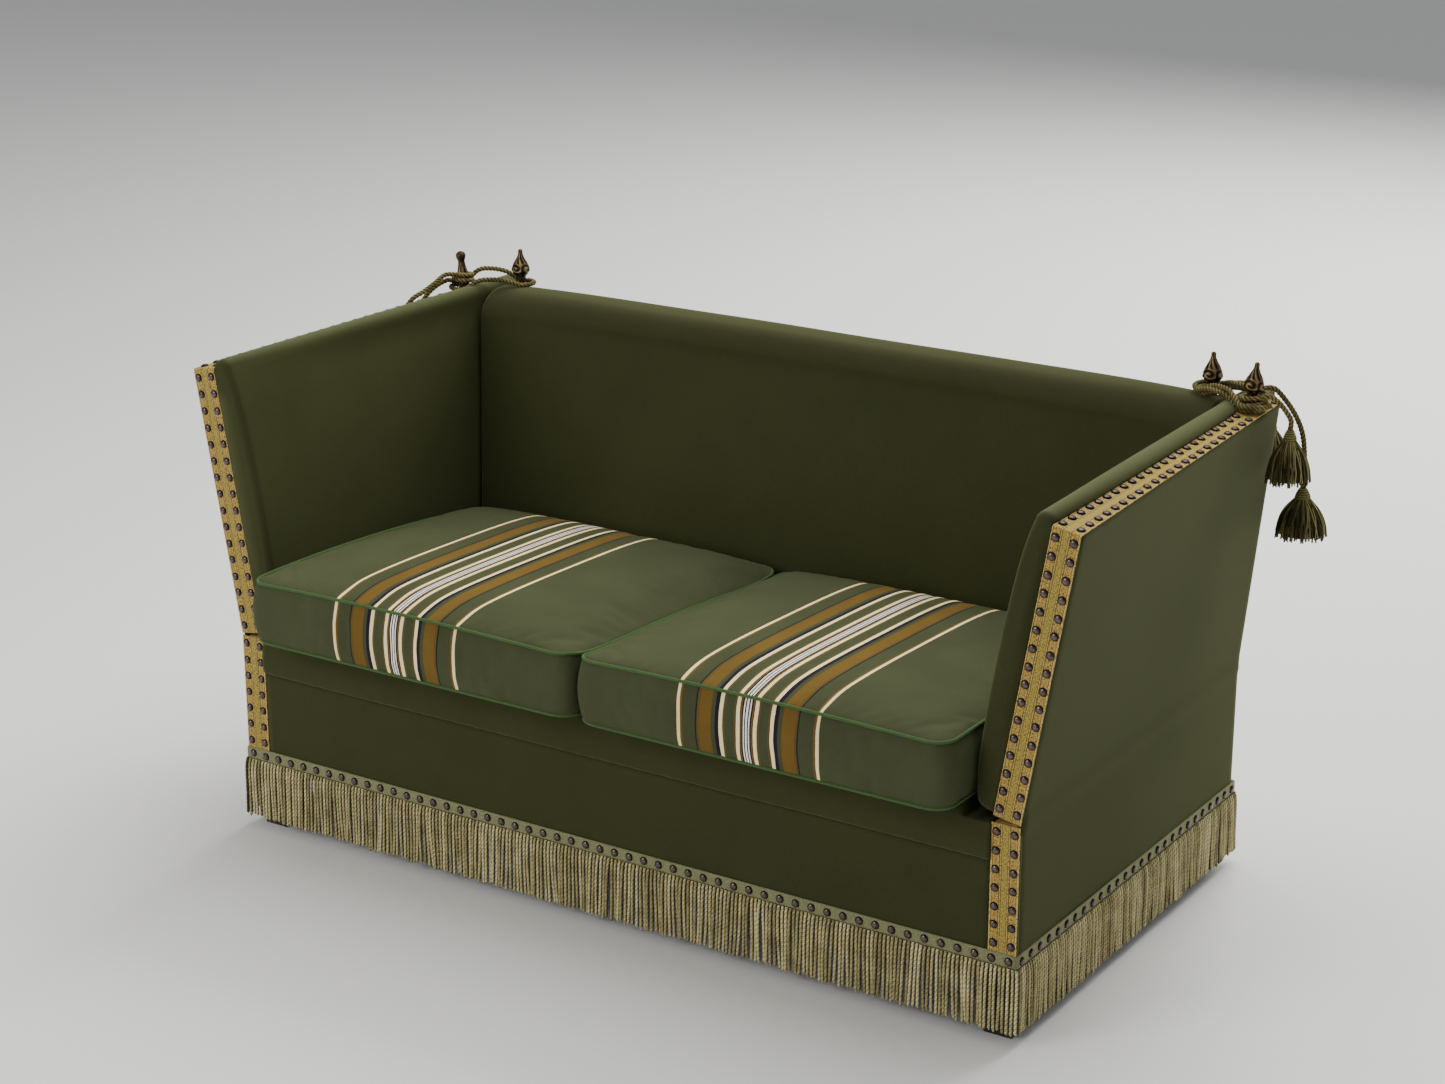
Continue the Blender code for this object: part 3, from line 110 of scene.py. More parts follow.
class Finish:
    """A material in the making: its node tree, its shader and short ways to add nodes."""

    def __init__(self, name, roughness, **sockets):
        self.material = bpy.data.materials.new(name)
        self.material.use_nodes = True
        self.tree = self.material.node_tree
        self.shader = self.tree.nodes["Principled BSDF"]
        self.shader.inputs["Roughness"].default_value = roughness
        for key, value in sockets.items():
            self.shader.inputs[key.replace("_", " ")].default_value = value

    def node(self, kind, inputs=None, **settings):
        made = self.tree.nodes.new(kind)
        for key, value in settings.items():
            setattr(made, key, value)
        for key, value in (inputs or {}).items():
            if isinstance(value, bpy.types.NodeSocket):
                self.tree.links.new(value, made.inputs[key])
            else:
                made.inputs[key].default_value = value
        return made

    def maths(self, operation, *values):
        return self.node("ShaderNodeMath", dict(enumerate(values)), operation=operation).outputs[0]

    def mix(self, factor, first, second, blend="MIX"):
        inputs = {0: factor, 6: first, 7: second}
        return self.node("ShaderNodeMix", inputs, data_type="RGBA", blend_type=blend).outputs[2]

    def multiply(self, first, second):
        return self.mix(1.0, first, second, "MULTIPLY")

    def noise(self, vector, scale, detail=3.0, roughness=0.5):
        inputs = {"Vector": vector, "Scale": scale, "Detail": detail, "Roughness": roughness}
        return self.node("ShaderNodeTexNoise", inputs).outputs["Fac"]

    def ramp(self, factor, stops, interpolation="LINEAR"):
        made = self.node("ShaderNodeValToRGB", {"Fac": factor})
        made.color_ramp.interpolation = interpolation
        elements = made.color_ramp.elements
        while len(elements) < len(stops):
            elements.new(1.0)
        for element, (place, colour) in zip(elements, stops):
            element.position = place
            element.color = colour if not isinstance(colour, float) else (colour, colour, colour, 1.0)
        return made.outputs["Color"]

    def stretched(self, vector, scale):
        return self.node("ShaderNodeMapping", {"Vector": vector, "Scale": scale}).outputs["Vector"]

    def split(self, vector):
        return self.node("ShaderNodeSeparateXYZ", {"Vector": vector}).outputs

    def wave(self, value, length):
        """A sine wave of this length."""
        return self.maths("SINE", self.maths("MULTIPLY", value, math.tau / length))

    def half_up(self, value):
        """From the range -1 to 1 to the range 0 to 1."""
        return self.maths("MULTIPLY_ADD", value, 0.5, 0.5)

    def object_place(self, output="Object"):
        return self.node("ShaderNodeTexCoord").outputs[output]

    def uv_place(self):
        """The UV map in metres, with its two parts."""
        place = self.node("ShaderNodeUVMap", uv_map="cloth").outputs["UV"]
        parts = self.split(place)
        return place, parts["X"], parts["Y"]

    def nap(self):
        """Fine fibres of a fulled woollen cloth, its threads, and slow changes in its shade."""
        place = self.object_place()
        return [self.noise(place, *settings) for settings in
                ((1100.0, 4.0, 0.7), (330.0, 3.0, 0.6), (7.0, 4.0, 0.55))]

    def finish(self, base, height, strength, distance):
        """The material with its colour and with the relief of its surface, distance in metres."""
        bump = self.node("ShaderNodeBump", {"Height": height, "Strength": strength, "Distance": distance})
        self.tree.links.new(base, self.shader.inputs["Base Color"])
        self.tree.links.new(bump.outputs["Normal"], self.shader.inputs["Normal"])
        return self.material


WHITE = (1.0, 1.0, 1.0, 1.0)
WOOL_SHEEN = {"Sheen_Roughness": 0.42, "Sheen_Tint": rgb(190, 196, 140), "Specular_IOR_Level": 0.14}


def wool_material(name, painted_top_tone=WHITE, start=0.5):
    """Woollen cloth, its colour multiplied where it faces up by a painted top tone: a painted highlight
    where the tone is above one, painted shade where it is below one.
    """
    cloth = Finish(name, 0.92, Sheen_Weight=0.28, **WOOL_SHEEN)
    fibres, threads, slow = cloth.nap()
    weave = cloth.ramp(slow, [(0.32, rgb(53, 56, 31)), (0.52, rgb(55, 58, 33)), (0.70, rgb(57, 59, 34))])
    facing = cloth.split(cloth.object_place("Normal"))
    # Painted light on upward faces: lighter for a painted highlight, darker for painted shade, as the top
    # tone says.
    upward = cloth.ramp(facing["Z"], [(start, WHITE), (0.95, painted_top_tone)])
    speckle = cloth.ramp(fibres, [(0.30, 0.72), (0.52, 1.0), (0.72, 1.30)])
    base = cloth.multiply(cloth.multiply(weave, upward), speckle)
    return cloth.finish(base, cloth.maths("ADD", fibres, threads), 0.45, 0.0005)


# Stripes of a cushion: half of a mirrored set, as (from the middle, colour that starts there)
STRIPE_REACH = 0.140
CREAM, MUSTARD, NAVY = rgb(251, 235, 178), rgb(109, 85, 37), rgb(38, 28, 40)
OCHRE, GREEN, PALE, INK = rgb(112, 82, 40), rgb(68, 73, 49), rgb(250, 248, 240), rgb(40, 28, 34)
STRIPES = ((0.0, PALE), (0.0011, INK), (0.0034, PALE), (0.0058, INK), (0.0084, OCHRE), (0.0114, INK),
           (0.0122, CREAM), (0.0186, OCHRE), (0.0202, GREEN), (0.0210, OCHRE), (0.0222, GREEN),
           (0.0392, OCHRE), (0.0404, GREEN), (0.0412, OCHRE), (0.0424, CREAM), (0.0488, NAVY),
           (0.0558, GREEN), (0.0632, MUSTARD), (0.0860, INK), (0.0866, OCHRE), (0.0882, GREEN),
           (0.0898, INK), (0.0922, GREEN), (0.1180, OCHRE), (0.1216, CREAM), (0.1270, OCHRE),
           (0.1280, GREEN))


def cushion_material():
    """Dark sage woollen cloth with a group of woven stripes front to back."""
    cloth = Finish("striped_wool_cloth", 0.92, Sheen_Weight=0.05, **WOOL_SHEEN)
    fibres, threads, slow = cloth.nap()
    _, across, along = cloth.uv_place()
    off_true = cloth.maths("SUBTRACT", threads, 0.5)
    wavy = cloth.maths("MULTIPLY_ADD", off_true, 0.0009, cloth.maths("ABSOLUTE", across))
    share = cloth.maths("DIVIDE", wavy, STRIPE_REACH)
    stripes = cloth.ramp(share, [(start / STRIPE_REACH, colour) for start, colour in STRIPES], "CONSTANT")
    shade = cloth.ramp(slow, [(0.32, 0.88), (0.70, 1.10)])
    speckle = cloth.ramp(fibres, [(0.30, 0.76), (0.52, 1.0), (0.72, 1.26)])
    rib = cloth.wave(along, 0.0012)
    height = cloth.maths("MULTIPLY_ADD", rib, 0.15, cloth.maths("ADD", fibres, threads))
    return cloth.finish(cloth.multiply(stripes, cloth.multiply(shade, speckle)), height, 0.45, 0.0005)


def piping_material():
    """Green cloth with a slanting weave, cut on the bias round its cord."""
    cloth = Finish("green_piping_cloth", 0.80, Sheen_Weight=0.08, Sheen_Roughness=0.4)
    _, around, along = cloth.uv_place()
    slant = cloth.wave(cloth.maths("ADD", around, along), 0.0016)
    fibres = cloth.noise(cloth.object_place(), 700.0, 4.0, 0.7)
    base = cloth.ramp(fibres, [(0.3, rgb(38, 64, 22)), (0.55, rgb(58, 92, 34)), (0.75, rgb(80, 118, 48))])
    return cloth.finish(base, cloth.maths("MULTIPLY_ADD", slant, 0.4, fibres), 0.6, 0.0004)


def braid_material():
    """Woven braid: selvedges, mottled outer bands, two fine ridges and a green-flecked middle."""
    braid = Finish("gold_woven_braid", 0.66, Sheen_Weight=0.04, Sheen_Roughness=0.4, Specular_IOR_Level=0.22)
    place, along, across = braid.uv_place()
    flecks = braid.noise(braid.stretched(place, (1.0, 2.6, 1.0)), 300.0, 3.0, 0.65)
    threads = braid.noise(place, 1500.0, 2.0, 0.6)
    from_middle = braid.maths("DIVIDE", braid.maths("ABSOLUTE", across), BRAID_WIDTH / 2)
    gold = braid.ramp(from_middle, [
        (0.0, rgb(194, 168, 80)), (0.18, rgb(200, 172, 82)), (0.23, rgb(84, 64, 32)),
        (0.28, rgb(246, 216, 126)), (0.34, rgb(84, 62, 32)), (0.41, rgb(222, 186, 94)),
        (0.60, rgb(204, 168, 82)), (0.80, rgb(226, 190, 100)), (0.86, rgb(98, 76, 36)),
        (0.91, rgb(248, 218, 132)), (1.0, rgb(224, 190, 102))])
    dark = braid.ramp(from_middle, [
        (0.0, rgb(96, 92, 40)), (0.30, rgb(104, 90, 44)), (0.36, rgb(62, 46, 28)),
        (0.78, rgb(72, 54, 32)), (0.90, rgb(140, 112, 58)), (1.0, rgb(104, 82, 38))])
    amount = braid.ramp(flecks, [(0.42, 0.0), (0.50, 0.26), (0.58, 0.95)])
    woven = braid.maths("MULTIPLY", braid.wave(along, 0.0030), braid.wave(across, 0.0026))
    shade = braid.ramp(braid.half_up(woven), [(0.0, 0.52), (0.5, 0.98), (1.0, 1.28)])
    height = braid.maths("ADD", braid.maths("MULTIPLY", woven, 0.6), threads)
    return braid.finish(braid.multiply(braid.mix(amount, gold, dark), shade), height, 0.8, 0.0006)


def tape_material():
    """Ribbed sage tape, flecked like the braid."""
    tape = Finish("sage_woven_tape", 0.80, Sheen_Weight=0.05, Sheen_Roughness=0.4)
    place, along, _ = tape.uv_place()
    flecks = tape.noise(place, 500.0, 3.0, 0.65)
    rib = tape.wave(along, 0.0021)
    shade = tape.ramp(tape.half_up(rib), [(0.0, 0.66), (1.0, 1.08)])
    sage = [(0.34, rgb(104, 106, 66)), (0.52, rgb(146, 148, 104)), (0.70, rgb(176, 174, 128))]
    base = tape.multiply(tape.ramp(flecks, sage), shade)
    return tape.finish(base, tape.maths("ADD", rib, flecks), 0.7, 0.0006)


def yarn_material(name, dark, middle, light, variety=0.25, painted_twist_shade=0.0):
    """Twisted yarn: fine threads that follow the twist, with painted shade in the grooves between the plies
    and a painted highlight on the plies' backs.
    """
    yarn = Finish(name, 0.78, Sheen_Weight=0.05, Sheen_Roughness=0.4, Specular_IOR_Level=0.2)
    place, along, depth = yarn.uv_place()
    threads = yarn.noise(yarn.stretched(place, (1.0, 0.12, 1.0)), 260.0, 3.0, 0.6)
    slow = yarn.noise(yarn.object_place(), 38.0, 3.0, 0.6)
    strand = yarn.node("ShaderNodeTexWhiteNoise", {"W": yarn.maths("FLOOR", along)}, noise_dimensions="1D")
    tone = yarn.maths("MULTIPLY_ADD", threads, 0.7, yarn.maths("MULTIPLY", slow, 0.3))
    shift = yarn.maths("MULTIPLY", yarn.maths("SUBTRACT", strand.outputs["Value"], 0.5), variety)
    base = yarn.ramp(yarn.maths("ADD", tone, shift), [(0.36, dark), (0.50, middle), (0.66, light)])
    turned = yarn.maths("MULTIPLY_ADD", along, math.tau / 0.0036, yarn.maths("MULTIPLY", depth, 2.2))
    # A spiral of painted light and shade along the twist, added to the depth.
    painted_shade_place = yarn.maths("MULTIPLY_ADD", yarn.maths("SINE", turned), painted_twist_shade, depth)
    # Painted shade: near black in the grooves, and brighter than the yarn's colour on the plies' backs as a
    # painted highlight.
    groove = yarn.ramp(painted_shade_place, [(0.0, 0.05), (0.40, 0.42), (0.75, 1.0), (1.0, 1.45)])
    return yarn.finish(yarn.multiply(base, groove), threads, 0.7, 0.0005)


def metal_material(name, dark, middle, bright, roughness, scale):
    """Aged metal: dark in the hollows, rubbed bright on what stands proud."""
    metal = Finish(name, roughness, Metallic=0.85)
    _, _, proud = metal.uv_place()
    patches = metal.noise(metal.object_place(), scale, 4.0, 0.6)
    worn = metal.maths("MULTIPLY_ADD", patches, 0.55, metal.maths("MULTIPLY", proud, 0.6))
    rough = metal.ramp(patches, [(0.3, roughness + 0.12), (0.7, roughness - 0.08)])
    metal.tree.links.new(rough, metal.shader.inputs["Roughness"])
    base = metal.ramp(worn, [(0.28, dark), (0.58, middle), (0.86, bright)])
    return metal.finish(base, patches, 0.25, 0.0006)


def wood_material(name, dark, light, roughness, coat=0.0):
    """Wood with its grain upright, polished where it has a coat."""
    wood = Finish(name, roughness, Coat_Weight=coat)
    stretched = wood.stretched(wood.object_place(), (60.0, 60.0, 5.0))
    grain, pores = wood.noise(stretched, 1.0, 6.0, 0.6), wood.noise(stretched, 9.0, 3.0, 0.6)
    base = wood.ramp(grain, [(0.35, dark), (0.65, light)])
    return wood.finish(base, wood.maths("ADD", grain, pores), 0.3, 0.0005)


def plain_cloth_material(name, dark, light, thread):
    """Coarse plain weave, thread metres from one thread to the next but one."""
    cloth = Finish(name, 0.92)
    parts = cloth.split(cloth.object_place())
    woven = cloth.maths("MULTIPLY", *[cloth.wave(parts[axis], thread) for axis in "XY"])
    tone = cloth.maths("MULTIPLY_ADD", woven, 0.2, cloth.noise(cloth.object_place(), 300.0, 3.0, 0.6))
    return cloth.finish(cloth.ramp(tone, [(0.35, dark), (0.65, light)]), woven, 0.5, 0.0005)


WOOL = wool_material("olive_wool_cloth")
# Painted highlight: the arm pads' cloth is lightened where it faces up.
TOP_HIGHLIGHT_WOOL = wool_material("wool_painted_top_highlight", (1.48, 1.52, 1.85, 1.0))
# Painted shade: the back pad's cloth is darkened where it faces up.
TOP_SHADE_WOOL = wool_material("wool_painted_top_shade", (0.56, 0.53, 0.50, 1.0), 0.25)
STRIPED = cushion_material()
PIPING = piping_material()
BRAID = braid_material()
TAPE = tape_material()
ROPE = yarn_material("olive_twisted_cord", rgb(48, 40, 20), rgb(86, 77, 41), rgb(148, 134, 82))
TASSEL = yarn_material("olive_tassel_yarn", rgb(46, 42, 20), rgb(92, 87, 44), rgb(154, 142, 90), 0.44)
BULLION = yarn_material("khaki_bullion_yarn", rgb(112, 103, 70), rgb(172, 161, 113), rgb(214, 203, 156),
                        variety=0.18, painted_twist_shade=0.12)
NAIL = metal_material("dark_bronze_nails", rgb(15, 12, 14), rgb(42, 37, 39), rgb(100, 86, 82), 0.27, 160.0)
BRONZE = metal_material("aged_bronze", rgb(26, 19, 13), rgb(64, 51, 33), rgb(138, 116, 80), 0.42, 120.0)
STEEL = metal_material("plain_steel", rgb(90, 90, 92), rgb(140, 140, 142), rgb(180, 180, 182), 0.35, 90.0)
BEECH = wood_material("sawn_beech", rgb(176, 132, 88), rgb(206, 164, 116), 0.65)
DARK_WOOD = wood_material("dark_stained_wood", rgb(24, 15, 11), rgb(48, 30, 22), 0.40, 0.3)
JUTE = plain_cloth_material("jute_webbing", rgb(150, 122, 82), rgb(186, 160, 116), 0.0028)
BLACK_CLOTH = plain_cloth_material("black_bottom_cloth", rgb(18, 18, 20), rgb(34, 34, 38), 0.0018)


# Building meshes

UP = Vector((0, 0, 1))


def clamp(value):
    return min(1.0, max(0.0, value))


def between(low, high, share):
    return low + (high - low) * share


def turns(count):
    """Equal angles round a circle."""
    return np.arange(count) * math.tau / count


def ring(middle, across, side_way, angles, reach):
    """Points round the middle, each at its angle and reach."""
    return (np.array(middle) + np.outer(np.cos(angles) * reach, across)
            + np.outer(np.sin(angles) * reach, side_way))


def sides_of(direction):
    """Two directions across the given one."""
    across = direction.orthogonal().normalized()
    return across, direction.cross(across)


class Heap:
    """Grids of points gathered into one mesh, with a UV map in metres."""

    def __init__(self):
        self.points, self.faces, self.uvs, self.slots, self.count = [], [], [], [], 0

    def add(self, grid, u, v, wrap=False, slot=0, cap=False):
        """Add grid[row][column] of points, with u along the rows and v along the columns.
        wrap joins the last column to the first, and cap closes both ends."""
        grid = np.asarray(grid, float)
        rows, columns = grid.shape[:2]
        spans = columns if wrap else columns - 1
        row, column = [part.ravel() for part in np.mgrid[0:rows - 1, 0:spans]]
        after = (column + 1) % columns
        corners = np.stack([row * columns + column, row * columns + after,
                            (row + 1) * columns + after, (row + 1) * columns + column], 1)
        u, v = np.asarray(u, float), np.asarray(v, float)
        flat_u = u if u.ndim == 2 else np.repeat(u[:, None], spans + 1, 1)
        flat_v = v if v.ndim == 2 else np.repeat(v[None, :], rows, 0)
        places = (row, column), (row, column + 1), (row + 1, column + 1), (row + 1, column)
        uv = np.stack([np.stack([flat_u[place], flat_v[place]], 1) for place in places], 1)
        self.points.append(grid.reshape(-1, 3))
        self.faces += (corners + self.count).tolist()
        self.uvs.append(uv.reshape(-1, 2))
        self.slots += [slot] * len(corners)
        if cap:
            for end_ring in (range(columns - 1, -1, -1), range((rows - 1) * columns, rows * columns)):
                self.faces.append([self.count + i for i in end_ring])
                self.uvs.append(np.zeros((columns, 2)))
                self.slots.append(slot)
        self.count += rows * columns

    def make(self, name, *materials, weld=0.0):
        """The gathered mesh as an object, its doubled points joined within weld metres."""
        mesh = bpy.data.meshes.new(name)
        mesh.from_pydata(np.concatenate(self.points).tolist(), [], self.faces)
        layer = mesh.uv_layers.new(name="cloth")
        layer.data.foreach_set("uv", np.concatenate(self.uvs).ravel())
        mesh.polygons.foreach_set("material_index", self.slots)
        mesh.polygons.foreach_set("use_smooth", [True] * len(self.faces))
        for material in materials:
            mesh.materials.append(material)
        bm = bmesh.new()
        bm.from_mesh(mesh)
        if weld:
            bmesh.ops.remove_doubles(bm, verts=bm.verts, dist=weld)
        bmesh.ops.recalc_face_normals(bm, faces=bm.faces)
        bm.to_mesh(mesh)
        bm.free()
        made = bpy.data.objects.new(name, mesh)
        SCENE.collection.objects.link(made)
        return made


def settle(piece, body, slot, *nodes):
    """The piece rides on its body and stands for the nodes. The slot is not used."""
    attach(piece, body)
    if nodes:
        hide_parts(*nodes)
    return piece


def fine_curve(points):
    """A smooth curve through the given points, as in part.py, in twelve pieces to a span."""
    points = [Vector(point) for point in points]
    padded = [2 * points[0] - points[1], *points, 2 * points[-1] - points[-2]]
    fine = []
    pieces = 12
    for a, b, c, d in zip(padded, padded[1:], padded[2:], padded[3:]):
        for i in range(pieces):
            t = i / pieces
            fine.append(((2 * b) + (c - a) * t + (2 * a - 5 * b + 4 * c - d) * t ** 2
                         + (3 * b - a - 3 * c + d) * t ** 3) / 2)
    fine.append(points[-1])
    return fine


def run_lengths(route):
    lengths = [0.0]
    for a, b in zip(route, route[1:]):
        lengths.append(lengths[-1] + (b - a).length)
    return lengths


def even_points(fine, count):
    """The curve's points again, as count equal steps."""
    lengths = run_lengths(fine)
    route = []
    at = 0
    for i in range(count + 1):
        target = lengths[-1] * i / count
        while at < len(lengths) - 2 and lengths[at + 1] < target:
            at += 1
        part = (target - lengths[at]) / max(1e-9, lengths[at + 1] - lengths[at])
        route.append(fine[at].lerp(fine[at + 1], min(1.0, part)))
    return route


def smooth_route(points, step):
    fine = fine_curve(points)
    return even_points(fine, max(2, round(run_lengths(fine)[-1] / step)))



# Ropes

def frames_along(route, closed=False):
    """Two directions across the route at every point, that turn no more than they must."""
    count = len(route)
    frames = []
    across = None
    for i in range(count):
        after = route[(i + 1) % count] if closed or i < count - 1 else route[i]
        before = route[i - 1] if closed or i > 0 else route[i]
        direction = (after - before).normalized()
        if across is None:
            across = direction.orthogonal().normalized()
        across = (across - direction * across.dot(direction)).normalized()
        frames.append((across, direction.cross(across)))
    return frames


def twisted_rings(route, radius, lay, plies, around, closed=False, phase=0.0, hollow=0.38):
    """Rings round the route with one lobe to a ply, turning once in each lay length.
    Each ring comes with its depth: 1 on a ply's back and 0 in the groove between two."""
    frames = frames_along(route, closed)
    lengths = run_lengths(route)
    total, correction = lengths[-1], 0.0
    if closed:
        total += (route[0] - route[-1]).length
        last_across, last_side = frames[-1]
        first = frames[0][0]
        slip = math.atan2(first.dot(last_side), first.dot(last_across))
        whole = math.tau * total / lay
        correction = round((whole + slip) * plies / math.tau) * math.tau / plies - slip - whole
    rings, depths = [], []
    angles = turns(around)
    for point, (across, side_way), length in zip(route, frames, lengths):
        turn = phase + math.tau * length / lay + correction * length / total
        lobe = np.abs(np.cos((angles - turn) * plies / 2))
        rings.append(ring(point, across, side_way, angles, radius * (1 - hollow + hollow * lobe ** 0.8)))
        depths.append(np.append(lobe, lobe[0]))
    return rings, lengths, depths


def add_rope(heap, route, radius, closed=False, phase=0.0):
    """A cord of three plies."""
    rings, lengths, depths = twisted_rings(route, radius, ROPE_LAY, 3, 18, closed, phase)
    if closed:
        rings.append(rings[0])
        depths.append(depths[0])
        lengths.append(lengths[-1] + (route[0] - route[-1]).length)
    heap.add(rings, lengths, depths, wrap=True, cap=not closed)


# Arms, as in part.py

def arm_angle(y):
    splay = between(0.079, 0.046, (y - FRONT_Y) / BASE_DEPTH)
    return math.asin(splay / ARM_LENGTH)


def arm_point(side, inward, y, up):
    angle = arm_angle(y)
    x = OUTER_X + up * math.sin(angle) - inward * math.cos(angle)
    z = HINGE_HEIGHT + up * math.cos(angle) + inward * math.sin(angle)
    return Vector((side * x, y, z))


def arm_up(side, y):
    angle = arm_angle(y)
    return Vector((side * math.sin(angle), 0, math.cos(angle)))


def finial_foot(word, side):
    y = FINIAL_Y[word]
    return arm_point(side, BRAID_WIDTH / 2, y, ARM_LENGTH + BRAID_THICKNESS + 2 * GAP), arm_up(side, y)


def beside_finial(word, side, place):
    return finial_foot(word, side)[0] + Vector((side * place[0], place[1], place[2]))


# Cords and tassels. Their routes repeat part.py's, from the foot of the arm's finial
TAIL_OUT = {
    "right": ((0.0206, -0.0035, 0.0230), (0.0331, 0.0010, 0.0270), (0.0461, 0.0080, 0.0170),
              (0.0571, 0.0150, 0.0010)),
    "left": ((0.0188, -0.0270, 0.0231), (0.0308, -0.0430, 0.0151), (0.0398, -0.0570, 0.0031),
             (0.0458, -0.0690, -0.0109)),
}
TAIL_BACK = {
    "right": ((0.0171, 0.0160, 0.0350), (0.0291, 0.0290, 0.0330), (0.0441, 0.0410, 0.0130),
              (0.0581, 0.0520, -0.0130), (0.0681, 0.0610, -0.0440), (0.0711, 0.0680, -0.0830)),
    "left": ((0.0138, -0.0390, 0.0361), (0.0208, -0.0650, 0.0231), (0.0288, -0.0890, 0.0111),
             (0.0398, -0.1070, 0.0001), (0.0528, -0.1150, -0.0229), (0.0648, -0.1180, -0.0629),
             (0.0708, -0.1185, -0.1029)),
}
TASSELS = {
    "right": ((0.0631, 0.0200, -0.0270, 0.090, 0.038), (0.0711, 0.0720, -0.1370, 0.085, 0.044)),
    "left": ((0.0488, -0.0770, -0.0319, 0.090, 0.036), (0.0708, -0.1190, -0.1369, 0.085, 0.043)),
}
REAR_CORD = ((0.0056, 0.0322, 0.0050), (0.0021, 0.0520, 0.0051), (-0.0029, 0.0750, 0.0066),
             (-0.0069, 0.0990, 0.0090), (-0.0119, 0.1200, -0.0030), (-0.0149, 0.1290, -0.0270))
REAR_TASSEL = (-0.0154, 0.1300, -0.0470, 0.090, 0.038)
LOOP_RADIUS = 0.0245
LOOP_REAR_RISE = {"left": 0.0250, "right": 0.0145}
LOOP_FRONT_RISE = {"left": 0.0150, "right": 0.0140}
HITCH_RADIUS = 0.0170
HITCH_HEIGHT = 0.0156
HITCH_POINTS = 18
ROPE_LAY = 0.0205
ROPE_STEP = 0.0016


def loop_route(word, side):
    """Round the back's finial, across to the arm's and back, each strand rising a little between them."""
    back = Vector((side * BACK_FINIAL[0], BACK_FINIAL[1], BACK_HEIGHT + 0.0052))
    foot, up = finial_foot(word, side)
    arm = foot + up * 0.0080
    along = arm - back
    heading = math.atan2(along.y, along.x)

    def away(turn):
        return Vector((math.cos(heading + turn), math.sin(heading + turn), 0)) * LOOP_RADIUS

    route = [back + away(math.pi / 2 + math.pi * i / 4) for i in range(5)]
    crest_shares = ((0.25, 0.70), (0.50, 1.0), (0.75, 0.95))
    for turn, places in ((-math.pi / 2, crest_shares), (math.pi / 2, reversed(crest_shares))):
        strand = away(turn)
        crest = (LOOP_REAR_RISE if strand.y > 0 else LOOP_FRONT_RISE)[word]
        route += [back + along * share + strand + UP * crest * rise for share, rise in places]
        if turn < 0:
            route += [arm + away(math.pi * (i / 4 - 0.5)) for i in range(5)]
    return route


def make_loop(word, side):
    """The loop that ties an arm up. On the right three turns of cord lie side by side."""
    route = loop_route(word, side)
    fine = smooth_route(route + route[:1], ROPE_STEP)[:-1]
    heap = Heap()
    if word == "left":
        add_rope(heap, fine, CORD / 2, closed=True)
    else:
        frames = frames_along(fine, closed=True)
        for start in (0.0, math.tau / 3, 2 * math.tau / 3):
            strand = []
            for i, (point, (across, side_way)) in enumerate(zip(fine, frames)):
                turn = start + math.tau * i / len(fine)
                away = (across * math.cos(turn) + side_way * math.sin(turn)) * CORD * 0.56
                strand.append(point + away + UP * 0.0022)
            add_rope(heap, strand, CORD * 0.48, closed=True, phase=start)
    loop = heap.make(f"tie_cord_loop_{word}", ROPE)
    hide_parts(f"cord_loop_{word}")
    foot, _ = finial_foot(word, side)
    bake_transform(loop)


# A tassel: its core and a strand as (share of the radius, share of the length), its layers of strands as
# (number, share of the reach), and where its bound neck ends and how far apart the binding's turns are
TASSEL_CORE = ((0.20, 0.20), (0.34, 0.34), (0.58, 0.60), (0.74, 0.92), (0.02, 0.90))
TASSEL_STRAND = ((0.20, 0.17), (0.30, 0.235), (0.42, 0.31), (0.58, 0.42), (0.73, 0.57), (0.84, 0.76),
                 (0.90, 1.0))
TASSEL_LAYERS = ((64, 1.0), (48, 0.84), (28, 0.62))
TASSEL_AROUND = 30
BOUND_SHARE = 0.19
BINDING_PITCH = 0.0036


